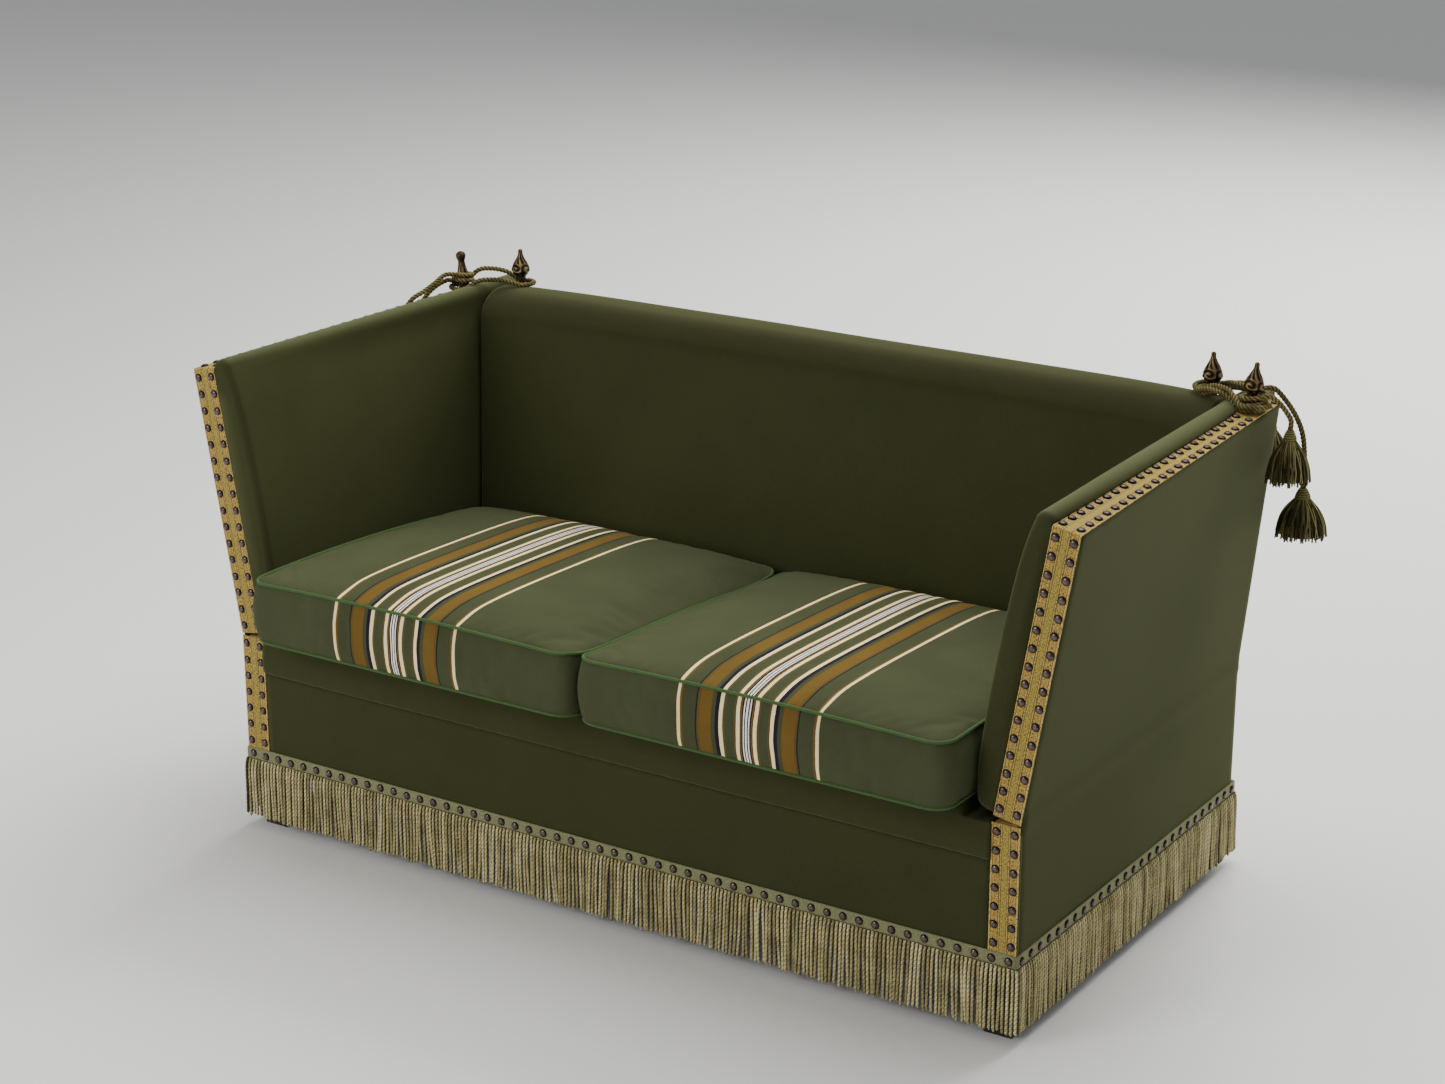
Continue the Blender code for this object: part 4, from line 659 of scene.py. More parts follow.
def make_tassel(name, neck, length, radius, seed, body, node_name):
    """A bound neck over a full skirt of soft strands, some of them astray."""
    draw = random.Random(seed)
    top = neck - UP * 2 * GAP
    heap = Heap()
    angles = turns(TASSEL_AROUND)

    def level_ring(down, reach):
        return ring((top.x, top.y, top.z - down * length), (1, 0, 0), (0, 1, 0), angles, reach)

    rings, depths, levels = [], [], np.linspace(0.0, 0.27, 34)
    for down in levels:
        wide = between(0.13, 0.30, min(1.0, down / 0.16) ** 0.7)
        bound = angles * 0.5 + down * length * math.pi / BINDING_PITCH
        wind = np.abs(np.cos(bound if down < BOUND_SHARE else angles * 7))
        rings.append(level_ring(down, radius * wide * (0.90 + 0.10 * wind)))
        # Painted shade between the turns of the binding, through the yarn's depth.
        depths.append(np.append(wind, wind[0]) * 0.8 + 0.15)
    heap.add(rings, levels * length, depths, wrap=True, cap=True)
    rings = [level_ring(down, radius * share * np.ones(TASSEL_AROUND)) for share, down in TASSEL_CORE]
    lengths = [down * length for _, down in TASSEL_CORE]
    # A depth of 0.1 makes the yarn's shading paint the core nearly black: painted shade inside the skirt.
    heap.add(rings, lengths, np.full((len(rings), TASSEL_AROUND + 1), 0.1), wrap=True)
    number = 0
    for layer, (count, scale) in enumerate(TASSEL_LAYERS):
        for i in range(count):
            number += 1
            angle = math.tau * (i + 0.5 * layer + draw.uniform(-0.4, 0.4)) / count
            bend, wave = draw.uniform(-0.34, 0.34), draw.uniform(-0.10, 0.10)
            short = draw.uniform(0.0, 0.12)
            astray = draw.uniform(1.03, 1.13) if draw.random() < 0.16 else 1.0
            reach_share = scale * draw.uniform(0.90, 1.04) * astray
            points = []
            for share, down in TASSEL_STRAND:
                reach = radius * (0.20 + (share - 0.20) * reach_share)
                turned = angle + bend * (down - 0.2) + wave * math.sin(down * 9)
                points.append(Vector((top.x + reach * math.cos(turned), top.y + reach * math.sin(turned),
                                      top.z - length * down * (1.0 - short * down))))
            rings, lengths, depths = twisted_rings(smooth_route(points, 0.004), draw.uniform(0.0011, 0.0018),
                                                   0.008, 2, 7, phase=draw.uniform(0, math.tau))
            heap.add(rings, [number + along for along in lengths], depths, wrap=True, cap=True)
    settle(heap.make(name, TASSEL), body, "cord", node_name)


def nearest(route, point):
    return min(range(len(route)), key=lambda i: (route[i] - point).length)


def declare_cord(path):
    """Measure the path's length; nothing is done with it."""
    run_lengths(path)[-1]


def make_tails(word, side):
    """One cord, hitched round the arm's finial, with a tail and a tassel at each end."""
    body = f"arm_{word}"
    foot, up = finial_foot(word, side)
    middle = foot + up * HITCH_HEIGHT
    out = [beside_finial(word, side, place) for place in TAIL_OUT[word]]
    back = [beside_finial(word, side, place) for place in TAIL_BACK[word]]
    entry, leave = [math.atan2(tail[0].y - middle.y, side * (tail[0].x - middle.x)) for tail in (out, back)]
    sweep = (leave - entry) % math.tau + math.tau
    hitch = []
    for i in range(1, HITCH_POINTS):
        angle = entry + sweep * i / HITCH_POINTS
        away = Vector((side * math.cos(angle), math.sin(angle), 0)) * HITCH_RADIUS
        hitch.append(middle + away + up * (CORD + GAP) * (angle - entry) / math.tau)
    necks = [beside_finial(word, side, tassel[:3]) for tassel in TASSELS[word]]
    above = [neck + UP * 1.5 * CORD for neck in necks]
    points = [necks[0], above[0], *reversed(out), *hitch, *back, above[1], necks[1]]
    whole = smooth_route(points, ROPE_STEP)
    near_out, near_back = nearest(whole, out[0]), nearest(whole, back[0])
    for place, neck, (*_, length, radius) in zip(("upper", "lower"), necks, TASSELS[word]):
        make_tassel(f"tassel_skirt_{place}_{word}", neck, length, radius, len(place + word), body,
                    f"tassel_{place}_{word}")
    rings, lengths, depths = twisted_rings(whole, CORD / 2, ROPE_LAY, 3, 18)
    spans = {"out": (0, near_out + 1), "hitch": (near_out, near_back + 1), "back": (near_back, len(whole))}
    for span, (low, high) in spans.items():
        heap = Heap()
        heap.add(rings[low:high], lengths[low:high], depths[low:high], wrap=True, cap=True)
        piece = settle(heap.make(f"tail_{span}_{word}", ROPE), body, "cord", f"cord_tail_{word}")
        if span == "out":
            declare_cord(whole[low:high][::-1])
        elif span == "back":
            declare_cord(whole[low:high])


def make_rear_cord():
    """The short cord that hangs behind the right arm, with its tassel."""
    neck = beside_finial("right", 1, REAR_TASSEL[:3])
    route = smooth_route([*(beside_finial("right", 1, place) for place in REAR_CORD), neck], ROPE_STEP)
    make_tassel("tassel_skirt_rear_right", neck, *REAR_TASSEL[3:], 5, "arm_right", "tassel_rear_right")
    heap = Heap()
    add_rope(heap, route, CORD / 2)
    piece = settle(heap.make("tail_rear_right", ROPE), "arm_right", "cord", "cord_rear_right")
    declare_cord(route)


for word, side in SIDES:
    make_loop(word, side)
    make_tails(word, side)
make_rear_cord()


# Finials: outlines as (share of the radius, share of the height), with the radius and the height in metres

FINIALS = {
    "flame": (((0.92, 0.0), (0.92, 0.05), (0.58, 0.09), (0.55, 0.20), (0.57, 0.36), (0.84, 0.43),
               (1.0, 0.50), (0.96, 0.58), (0.70, 0.70), (0.44, 0.80), (0.29, 0.88), (0.25, 0.93),
               (0.25, 0.97), (0.14, 1.0)), 0.0172, 0.081),
    "ball": (((0.92, 0.0), (0.92, 0.05), (0.60, 0.10), (0.63, 0.20), (0.63, 0.34), (0.60, 0.46),
              (0.50, 0.57), (0.40, 0.70), (0.40, 0.77), (0.50, 0.82), (0.57, 0.89), (0.46, 0.96),
              (0.16, 1.0)), 0.0170, 0.075),
}
FINIAL_AROUND = 96


def finial_relief(kind, share, angles):
    """How proud the casting stands round a finial at this share of its height, and its hollows' depth."""
    if share < 0.075:
        return 0.5 + 0.5 * np.cos(angles * 12), 0.08
    if share < 0.38:
        return 0.5 + 0.5 * np.cos(angles * 10) * math.cos(share * 60), 0.07
    if kind == "ball":
        return 0.5 + 0.5 * np.cos(angles * 8) * (share < 0.62), 0.06
    across_face = ((angles / math.tau * 4) % 1.0 - 0.5) * 2
    up_face = (share - 0.555) / 0.115
    away = np.hypot(across_face * 0.85, up_face)
    scroll = 0.5 + 0.5 * np.cos(math.tau * away * 1.15 - np.arctan2(up_face, across_face))
    rib = 0.5 + 0.5 * np.cos(angles * 8 + share * 20)
    fade = np.clip((away - 0.95) / 0.3, 0, 1)
    return scroll * (1 - fade) + rib * fade, 0.11 * (1 - 0.9 * max(0.0, (share - 0.75) / 0.25))


def make_finial(name, foot, up, kind, body, node_name):
    """A cast finial: scalloped plate, beaded neck, and leaves that wind up the flame."""
    shares, radius, height = FINIALS[kind]
    up = up.normalized()
    across, side_way = sides_of(up)
    profile = even_points(fine_curve([(share * radius, level * height, 0) for share, level in shares]), 120)
    angles = turns(FINIAL_AROUND)
    rings, proud = [], []
    for reach, level, _ in profile:
        relief, depth = finial_relief(kind, level / height, angles)
        spread_out = max(reach, 0.0006) * (1 - depth + depth * relief)
        rings.append(ring(foot + up * level, across, side_way, angles, spread_out))
        proud.append(np.append(relief, relief[0]))
    heap = Heap()
    heap.add(rings, [point.y for point in profile], proud, wrap=True, cap=True)
    settle(heap.make(name, BRONZE), body, "bronze", node_name)


for word, side in SIDES:
    seat = Vector((side * BACK_FINIAL[0], BACK_FINIAL[1], BACK_HEIGHT - 0.012))
    make_finial(f"flame_finial_back_{word}", seat, UP, "flame", "root", f"back_finial_{word}")
    kind = {"left": "ball", "right": "flame"}[word]
    foot, up = finial_foot(word, side)
    make_finial(f"{kind}_finial_arm_{word}", foot, up, kind, f"arm_{word}", f"arm_finial_{word}")


# Braid, nails and tape

NAIL_RADIUS = 0.0071
NAIL_HEIGHT = 0.0040
NAIL_ROW = BRAID_WIDTH / 2 - 0.0088
NAIL_SCATTER = 0.0008
NAIL_AROUND = 14
DOME = ((0.96, -0.10), (1.0, 0.06), (0.95, 0.34), (0.80, 0.66), (0.55, 0.88), (0.25, 0.985), (0.03, 1.0))
NAILS_UP, NAILS_BACK, NAILS_BASE = 16, 27, 7
TAPE_NAILS = (53, 27)
TAPE_THICKNESS = 0.0022
FINIAL_CLEARANCE = 0.024
BRAID_STEP = 0.0025
CORNER_STEP = 0.0008
FORWARD = Vector((0, -1, 0))


def braid_height(v, u):
    """How thick the braid is, v across it from its middle and u along it."""
    share = np.abs(v) / (BRAID_WIDTH / 2)
    selvedge = np.exp(-((share - 0.93) / 0.05) ** 2) * (0.8 + 0.2 * math.sin(math.tau * u / 0.0045))
    ridge = np.exp(-((share - 0.29) / 0.045) ** 2)
    return BRAID_THICKNESS + 0.0006 * selvedge + 0.0005 * ridge - 0.0003 * (share > 0.985)


def add_braid(heap, stations, place, low, high):
    """Braid along stations of (u, point on the path, outward way), put there by
    place(across, point, outward, height)."""
    across = np.linspace(low, high, 30)
    middle = BRAID_WIDTH / 2
    rings = []
    for u, point, outward in stations:
        heights = braid_height(across - middle, u)
        row = [place(a, point, outward, GAP + h) for a, h in zip(across, heights)]
        rings.append(row + [place(high, point, outward, GAP), place(low, point, outward, GAP)])
    v = np.concatenate([across - middle, [high - middle, low - middle, low - middle]])
    heap.add(rings, [u for u, _, _ in stations], v, wrap=True, cap=True)


def add_nail(heap, place, outward, draw):
    """A domed nail head, a little off true."""
    outward = (outward + Vector([draw.uniform(-0.06, 0.06) for _ in range(3)])).normalized()
    across, side_way = sides_of(outward)
    angles = turns(NAIL_AROUND)
    rings = [ring(place + outward * NAIL_HEIGHT * level, across, side_way, angles, NAIL_RADIUS * share)
             for share, level in DOME]
    proud = [np.full(NAIL_AROUND + 1, max(0.0, level)) for _, level in DOME]
    heap.add(rings, range(len(DOME)), proud, wrap=True, cap=True)


def scatter(draw):
    return draw.uniform(-NAIL_SCATTER, NAIL_SCATTER)


def leaning(y):
    """The share of its full lean over the braid that the arm pad's roll has here."""
    return 1 - (1 - clamp((y - FRONT_Y) / 0.67)) ** 2


def narrowed(inward, y):
    """A place across the braid on the arm's top, drawn in where the pad's roll leans over it."""
    return inward * (1 - 0.0125 * leaning(y) / BRAID_WIDTH)


def make_arm_trim(word, side):
    """The braid up the arm's front and back along its top, with two rows of nails."""
    draw = random.Random(len(word))
    count = round(ARM_LENGTH / BRAID_STEP)
    levels = [i * ARM_LENGTH / count for i in range(count)]
    path = [(level, (FRONT_Y, max(HINGE_LINE, level)), (-1.0, 0.0)) for level in levels]
    corner = [math.pi * i / 8 for i in range(5)]
    path += [(ARM_LENGTH + i * CORNER_STEP, (FRONT_Y, ARM_LENGTH), (-math.cos(turn), math.sin(turn)))
             for i, turn in enumerate(corner)]
    top_start = path[-1][0]
    depth = BASE_DEPTH - BRAID_THICKNESS
    count = round(depth / BRAID_STEP)
    path += [(top_start + i * BRAID_STEP, (FRONT_Y + i * depth / count, ARM_LENGTH), (0.0, 1.0))
             for i in range(1, count + 1)]

    def place(across, point, outward, height):
        y, up = point[0] + outward[0] * height, point[1] + outward[1] * height
        return arm_point(side, narrowed(across, y), y, up)

    braid, nails = Heap(), Heap()
    add_braid(braid, path, place, GAP, PAD_OUT - GAP)
    settle(braid.make(f"braid_arm_{word}", BRAID), f"arm_{word}", "gold_braid", f"arm_{word}_braid")
    front_face, top_face = FRONT_Y - BRAID_THICKNESS - GAP, ARM_LENGTH + BRAID_THICKNESS + GAP
    for row in (-1, 1):
        inward = BRAID_WIDTH / 2 + row * NAIL_ROW - (0.0006 if row > 0 else 0)
        for i in range(NAILS_UP):
            up = between(0.016, ARM_LENGTH - 0.014, i / (NAILS_UP - 1)) + scatter(draw)
            add_nail(nails, arm_point(side, inward, front_face, up), FORWARD, draw)
        for i in range(NAILS_BACK):
            y = between(FRONT_Y + 0.016, BACK_Y - 0.018, i / (NAILS_BACK - 1))
            if abs(y - FINIAL_Y[word]) >= FINIAL_CLEARANCE:
                spot = arm_point(side, narrowed(inward, y), y + scatter(draw), top_face)
                add_nail(nails, spot, arm_up(side, y), draw)
    settle(nails.make(f"nails_arm_{word}", NAIL), f"arm_{word}", "bronze")


def make_base_trim():
    """The braid at the base's front corners, and the nails of the braid and of the fringe's tape."""
    draw = random.Random(8)
    braid, nails = Heap(), Heap()
    low, high = TAPE_TOP + GAP, HINGE_HEIGHT - 0.002
    count = round((high - low) / BRAID_STEP)
    stations = [(i * BRAID_STEP, between(low, high, i / count), None) for i in range(count + 1)]
    for _, side in SIDES:
        def place(across, point, _, height):
            return Vector((side * (OUTER_X - across), FRONT_Y - height, point))

        add_braid(braid, stations, place, GAP, BRAID_WIDTH)
        for row in (-1, 1):
            x = side * (OUTER_X - BRAID_WIDTH / 2 + row * NAIL_ROW)
            for i in range(NAILS_BASE):
                z = between(low + 0.014, high - 0.014, i / (NAILS_BASE - 1)) + scatter(draw)
                add_nail(nails, Vector((x, FRONT_Y - BRAID_THICKNESS - GAP, z)), FORWARD, draw)
    settle(braid.make("braid_base", BRAID), "root", "gold_braid", "base_braid_left", "base_braid_right")
    middle = (TAPE_TOP + TAPE_BOTTOM) / 2
    for start, end, outward, number in plan_sides(GAP + TAPE_THICKNESS):
        for i in range(number):
            spot = start.lerp(end, (i + 0.5) / number)
            add_nail(nails, Vector((spot.x, spot.y, middle + scatter(draw))), outward, draw)
    settle(nails.make("nails_base", NAIL), "root", "bronze")


def plan_sides(out):
    """The base's four sides in plan, out from it: start, end, outward way and nails."""
    x, front, back = OUTER_X + out, FRONT_Y - out, BACK_Y + out
    corners = [Vector((-x, front, 0)), Vector((x, front, 0)), Vector((x, back, 0)), Vector((-x, back, 0))]
    ways = (FORWARD, Vector((1, 0, 0)), Vector((0, 1, 0)), Vector((-1, 0, 0)))
    return [(corners[i], corners[(i + 1) % 4], ways[i], TAPE_NAILS[i % 2]) for i in range(4)]


STRAND_PITCH = 0.0071
STRAND_RADIUS = 0.0031
STRAND_LAY = 0.016
STRAND_AROUND = 8
STRANDS_OUT = 0.0026
NEAR_CORNER = 0.05
FRINGE_TOP = TAPE_BOTTOM + 0.0010


def bunching(run):
    """How far a strand at this place along the fringe leans towards its neighbours."""
    slow = 0.0028 * math.sin(run * 31.0 + 1.2 * math.sin(run * 5.0))
    return slow + 0.0014 * math.sin(run * 97.0) + 0.0013 * math.sin(run * 171.0 + 3.0 * math.sin(run * 23.0))


def make_tape():
    """The tape round the base that the strands hang from, bent round its corners."""
    cells = 60
    section = [(GAP, TAPE_BOTTOM), (TAPE_THICKNESS, TAPE_BOTTOM)]
    section += [(TAPE_THICKNESS + 0.0004 * math.sin(math.pi * i / 6), between(TAPE_BOTTOM, TAPE_TOP, i / 6))
                for i in range(1, 6)]
    section += [(TAPE_THICKNESS, TAPE_TOP), (GAP, TAPE_TOP)]
    rows, lengths, run = [], [], 0.0
    base = plan_sides(0.0)
    for number, (start, end, outward, _) in enumerate(base):
        before, after = base[number - 1][2], base[(number + 1) % 4][2]
        for i in range(cells):
            share = i / cells
            slide = before * (1 - share) ** 40 + after * share ** 40
            spot = start.lerp(end, share)
            rows.append([spot + (outward + slide) * out + UP * z for out, z in section])
            lengths.append(run + (end - start).length * share)
        run += (end - start).length
    v = [z for _, z in section]
    tape = Heap()
    tape.add([*rows, rows[0]], [*lengths, run], v + v[:1], wrap=True)
    settle(tape.make("fringe_tape", TAPE, weld=1e-6), "root", "bullion", "bullion_fringe")


def make_fringe():
    """Close twisted strands below the tape, each a cord doubled on itself."""
    draw = random.Random(3)
    strands = Heap()
    number, run = 0, 0.0
    angles = turns(STRAND_AROUND)
    levels = np.linspace(0, 1, 34)
    drop = FRINGE_TOP - FRINGE_BOTTOM
    sides = plan_sides(STRANDS_OUT)
    # Painted shade: each strand is darker on the sides that face its neighbours and the tape, and lightest
    # on its outer side.
    painted_side_shade = np.clip(0.18 + np.maximum(np.sin(angles), 0) ** 0.7, 0, 1)
    for side_number, (start, end, outward, _) in enumerate(sides):
        length = (end - start).length
        count = round(length / STRAND_PITCH)
        along = np.array((end - start) / length)
        turned = np.array(outward + sides[(side_number + 1) % 4][2]) * 0.75
        outward = np.array(outward)
        for i in range(count):
            at = length * (i + 1) / count
            middle = np.array(start) + along * at
            number += 1
            away = turned if i == count - 1 else outward
            from_start, from_end = at / NEAR_CORNER, (length - at) / NEAR_CORNER
            lean = (draw.gauss(0, 0.0010) + bunching(run + at)) * min(1.0, from_start, from_end)
            bend, phase = draw.gauss(0, 0.0008), number * 0.55 + draw.gauss(0, 0.3)
            flare, short = draw.uniform(-0.0010, 0.0022), draw.uniform(0, 0.005)
            fan = max(0.0, 1 - from_end) - max(0.0, 1 - from_start) if i < count - 1 else 0.0
            fat = STRAND_RADIUS * draw.uniform(0.92, 1.04)
            rings, depths = [], []
            for level in levels:
                lobe = np.abs(np.cos(angles - phase - math.tau * level * drop / STRAND_LAY))
                tip = math.sqrt(max(0.0, (1 - level) / 0.03)) if level > 0.97 else 1.0
                swell = 1 - math.exp(-level / 0.09)
                out = 0.0044 * swell - 0.0008 + flare * level ** 3
                slide = lean * level ** 1.5 + bend * math.sin(math.pi * level) + 0.0030 * fan * swell
                height = np.array((0, 0, FRINGE_TOP - (drop - short) * level))
                centre = middle + along * slide + away * out + height
                reach = fat * (0.66 + 0.34 * lobe) * max(tip, 0.25)
                rings.append(ring(centre, along, outward, angles, reach))
                # Painted shade of the grooves and of the strand's sides, passed to the yarn's shading as its
                # depth.
                painted_strand_shade = (0.40 + 0.60 * lobe) * painted_side_shade
                depths.append(np.append(painted_strand_shade, painted_strand_shade[0]))
            strands.add(rings, number + levels * drop, depths, wrap=True, cap=True)
        run += length
    settle(strands.make("fringe_strands", BULLION), "root", "bullion", "bullion_fringe")


for word, side in SIDES:
    make_arm_trim(word, side)
make_base_trim()
make_tape()
make_fringe()


# Cloths that cover the frame

PAD_SWELL_FRONT, PAD_SWELL_BACK = 0.048, 0.024
LIP_DEPTH = 0.100
LIP_ROLL = 0.034
LIP_BULGE = 0.008
DECK_THICKNESS = 0.085
CLOTH_EDGE = 0.006
LINING = COVER - 0.0008
TAPED = TAPE_TOP - 0.02


def add_shell(heap, outer, inner, u, v):
    """A closed cloth between an outer and an inner grid of points."""
    outer, inner = np.asarray(outer, float), np.asarray(inner, float)
    v = list(v)
    heap.add(np.concatenate([outer, inner[:, ::-1]], 1), u, v + v[::-1] + v[:1], wrap=True, cap=True)


def ripple(a, b, seed):
    """Slow soft unevenness of stretched cloth, from -1 to 1."""
    slow = math.sin(a * 9.1 + seed) * math.sin(b * 7.3 + 2 * seed)
    return (slow + 0.6 * math.sin(a * 17.0 + b * 11.0 + seed)) / 1.6


def cloth_puff(y, up, side):
    """How far the side cloth stands out: soft unevenness, and a swell over the hinge's knuckles."""
    return 0.0006 * ripple(y, up, 2.0 + side) + 0.0030 * math.exp(-(up / 0.013) ** 2)


def make_side_cloth(word, side):
    """One cloth from the tape to the arm's top."""
    base_levels = np.linspace(TAPED, HINGE_HEIGHT, 22)[:-1]
    arm_levels = np.linspace(0.0, ARM_LENGTH, 48)
    ys = np.linspace(FRONT_Y, ARM_BACK_Y, 80)
    outer, inner = [], []
    for y in ys:
        end = min(1.0, (y - FRONT_Y) / CLOTH_EDGE, (ARM_BACK_Y - y) / CLOTH_EDGE)
        turn_in = 0.0030 * (1 - math.sqrt(max(0.0, 1 - (1 - end) ** 2)))
        return_in = FRAME_IN if y > ARM_BACK_Y - COVER else LINING
        outer_column, inner_column = [], []
        for z in base_levels:
            puff = turn_in - cloth_puff(y, z - HINGE_HEIGHT, side) * end
            outer_column.append(Vector((side * (OUTER_X - puff), y, z)))
            inner_column.append(Vector((side * (OUTER_X - LINING), y, z)))
        for up in arm_levels:
            puff = turn_in - cloth_puff(y, up, side) * end
            outer_column.append(arm_point(side, puff, y, up))
            inner_column.append(arm_point(side, return_in if up > 0.006 else LINING, y, up))
        outer.append(outer_column)
        inner.append(inner_column)
    heap = Heap()
    add_shell(heap, outer, inner, ys, np.concatenate([base_levels, HINGE_HEIGHT + arm_levels]))
    cloth = heap.make(f"side_cloth_{word}", WOOL)
    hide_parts(f"arm_{word}_cover", "base_cover")
    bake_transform(cloth)


def make_front_cloth():
    """The cloth below the seat's rolled edge, with the strips beside it that the braid covers."""
    heap = Heap()
    spans = ((-(OUTER_X - BRAID_WIDTH), OUTER_X - BRAID_WIDTH, LIP_SEAM, 120),
             (-OUTER_X + 0.0005, -(OUTER_X - BRAID_WIDTH) - GAP, HINGE_HEIGHT - 0.006, 6),
             (OUTER_X - BRAID_WIDTH + GAP, OUTER_X - 0.0005, HINGE_HEIGHT - 0.006, 6))
    for low, high, top, cells in spans:
        xs = np.linspace(low, high, cells + 1)
        zs = np.linspace(TAPED, top, 20)
        uneven = 0.0006 if cells > 6 else 0.0
        outer = [[(x, FRONT_Y + 0.0002 - uneven * ripple(x, z, 4.0), z) for z in zs] for x in xs]
        inner = [[(x, FRONT_Y + LINING, z) for z in zs] for x in xs]
        add_shell(heap, outer, inner, xs, zs)
    settle(heap.make("front_cloth", WOOL), "root", "olive_wool", "base_cover")


def deck_half():
    return arm_point(1, PAD_OUT + PAD_SWELL_FRONT, FRONT_Y, 0.0).x - 0.006


def make_lip():
    """The stuffed roll along the seat's front, stitched down to the front cloth."""
    half, narrow = OUTER_X - BRAID_WIDTH - GAP, deck_half()
    low, roll_top, end = LIP_SEAM + GAP, DECK_HEIGHT - LIP_ROLL, FRONT_Y + LIP_DEPTH
    outline = [(FRONT_Y + 0.0010, low, 0), (FRONT_Y - LIP_BULGE * 0.62, low + LIP_BULGE * 0.55, 0),
               (FRONT_Y - LIP_BULGE, between(low, roll_top, 0.5), 0)]
    for step in range(7):
        angle = math.pi / 2 * step / 6
        y = FRONT_Y - LIP_BULGE * 0.6 + LIP_ROLL * (1 - math.cos(angle))
        outline.append((y, roll_top + LIP_ROLL * math.sin(angle), 0))
    outline.append((end, DECK_HEIGHT, 0))
    section = even_points(fine_curve(outline), 44)
    shoulder = DECK_HEIGHT - WING_HEIGHT
    xs = np.concatenate([np.linspace(-half, -narrow - 0.006, 8), np.linspace(-narrow, narrow, 170),
                         np.linspace(narrow + 0.006, half, 8)])
    rows = []
    for x in xs:
        ceiling = shoulder if abs(x) > narrow + 0.003 else DECK_HEIGHT
        row = []
        for place, (y, z, _) in enumerate(section):
            pucker = 0.0007 * math.sin(math.tau * x / 0.031 + 1.3 * math.sin(x * 9)) * math.exp(-place / 5)
            row.append((x, y + pucker - 0.0007 * ripple(x, z, 6.0), min(z, ceiling)))
        rows.append(row + [(x, end, low)])
    lengths = [*run_lengths(section), 0.3, 0.4]
    heap = Heap()
    heap.add(rows, xs, lengths, wrap=True, cap=True)
    lip = settle(heap.make("front_edge_roll", WOOL), "root", "olive_wool", "seat_front_lip")


def make_deck():
    """The sprung platform under the cushions, with its wings under the arm pads."""
    low, step, top = DECK_HEIGHT - DECK_THICKNESS, DECK_HEIGHT - WING_HEIGHT, DECK_HEIGHT
    wide, narrow = RAIL_OUT_X - RAIL_THICKNESS - GAP, deck_half()
    ys = np.linspace(FRONT_Y + LIP_DEPTH + GAP, POST_BACK_Y - POST_DEPTH - GAP, 50)
    rows = []
    for y in ys:
        rim = min(1.0, (y - ys[0]) / 0.02, (ys[-1] - y) / 0.02)
        crown = [(x, top - 0.0015 * (1 - rim)) for x in np.linspace(narrow, -narrow, 60)]
        section = [(-wide, low), (wide, low), (wide, step), (narrow, step)]
        section += [*crown, (-narrow, step), (-wide, step)]
        rows.append([(x, y, z) for x, z in section])
    heap = Heap()
    heap.add(rows, ys, [*np.linspace(0, 2, len(rows[0])), 2.1], wrap=True, cap=True)
    deck = settle(heap.make("sprung_platform", WOOL), "root", "olive_wool", "seat_deck")


# Pads of the arms and the back

def pad_swell(y):
    return between(PAD_SWELL_FRONT, PAD_SWELL_BACK, min(1.0, (y - FRONT_Y) / (BASE_DEPTH * 0.75)))


# How far the pad swells up its height, as (share of the height, share of the swell)
SWELL_SHARES = ((0.00, 0.30), (0.012, 0.62), (0.05, 0.76), (0.16, 0.92), (0.38, 1.00), (0.62, 0.99),
                (0.82, 0.90), (0.93, 0.78))
PAD_LEAN = 0.013
PAD_ROLL_FRONT, PAD_ROLL_BACK = 0.031, 0.022


def pad_outline(word, y, shrink):
    """The pad's section as (inward, up), its roll leaning out over the braid towards the back."""
    low, high = HINGE_LINE + shrink, ARM_LENGTH - shrink
    swell = pad_swell(y) - shrink
    at_finial = math.exp(-((y - FINIAL_Y[word]) / 0.028) ** 2)
    lean = max(0.0, PAD_LEAN * leaning(y) * (1 - 0.85 * at_finial) - shrink)
    reach = between(PAD_ROLL_FRONT, PAD_ROLL_BACK, ((y - FRONT_Y) / BASE_DEPTH) ** 2) - shrink
    points = [(PAD_OUT + swell * out, between(low, high, level), 0) for level, out in SWELL_SHARES]
    above = ARM_LENGTH + BRAID_THICKNESS + 0.0026 - shrink
    centre, half = PAD_OUT + (reach - lean) / 2, (reach + lean) / 2
    for step in range(9):
        angle = math.pi * step / 8
        up = above - 0.006 + 0.0155 * math.sin(angle) + 0.003 * step / 8
        points.append((centre + half * math.cos(angle), up, 0))
    curve = even_points(fine_curve(points), 88)
    back = [(PAD_OUT, between(ARM_LENGTH + 0.0018 - shrink, low, step / 10), 0) for step in range(11)]
    return [tuple(point[:2]) for point in curve] + [point[:2] for point in back]


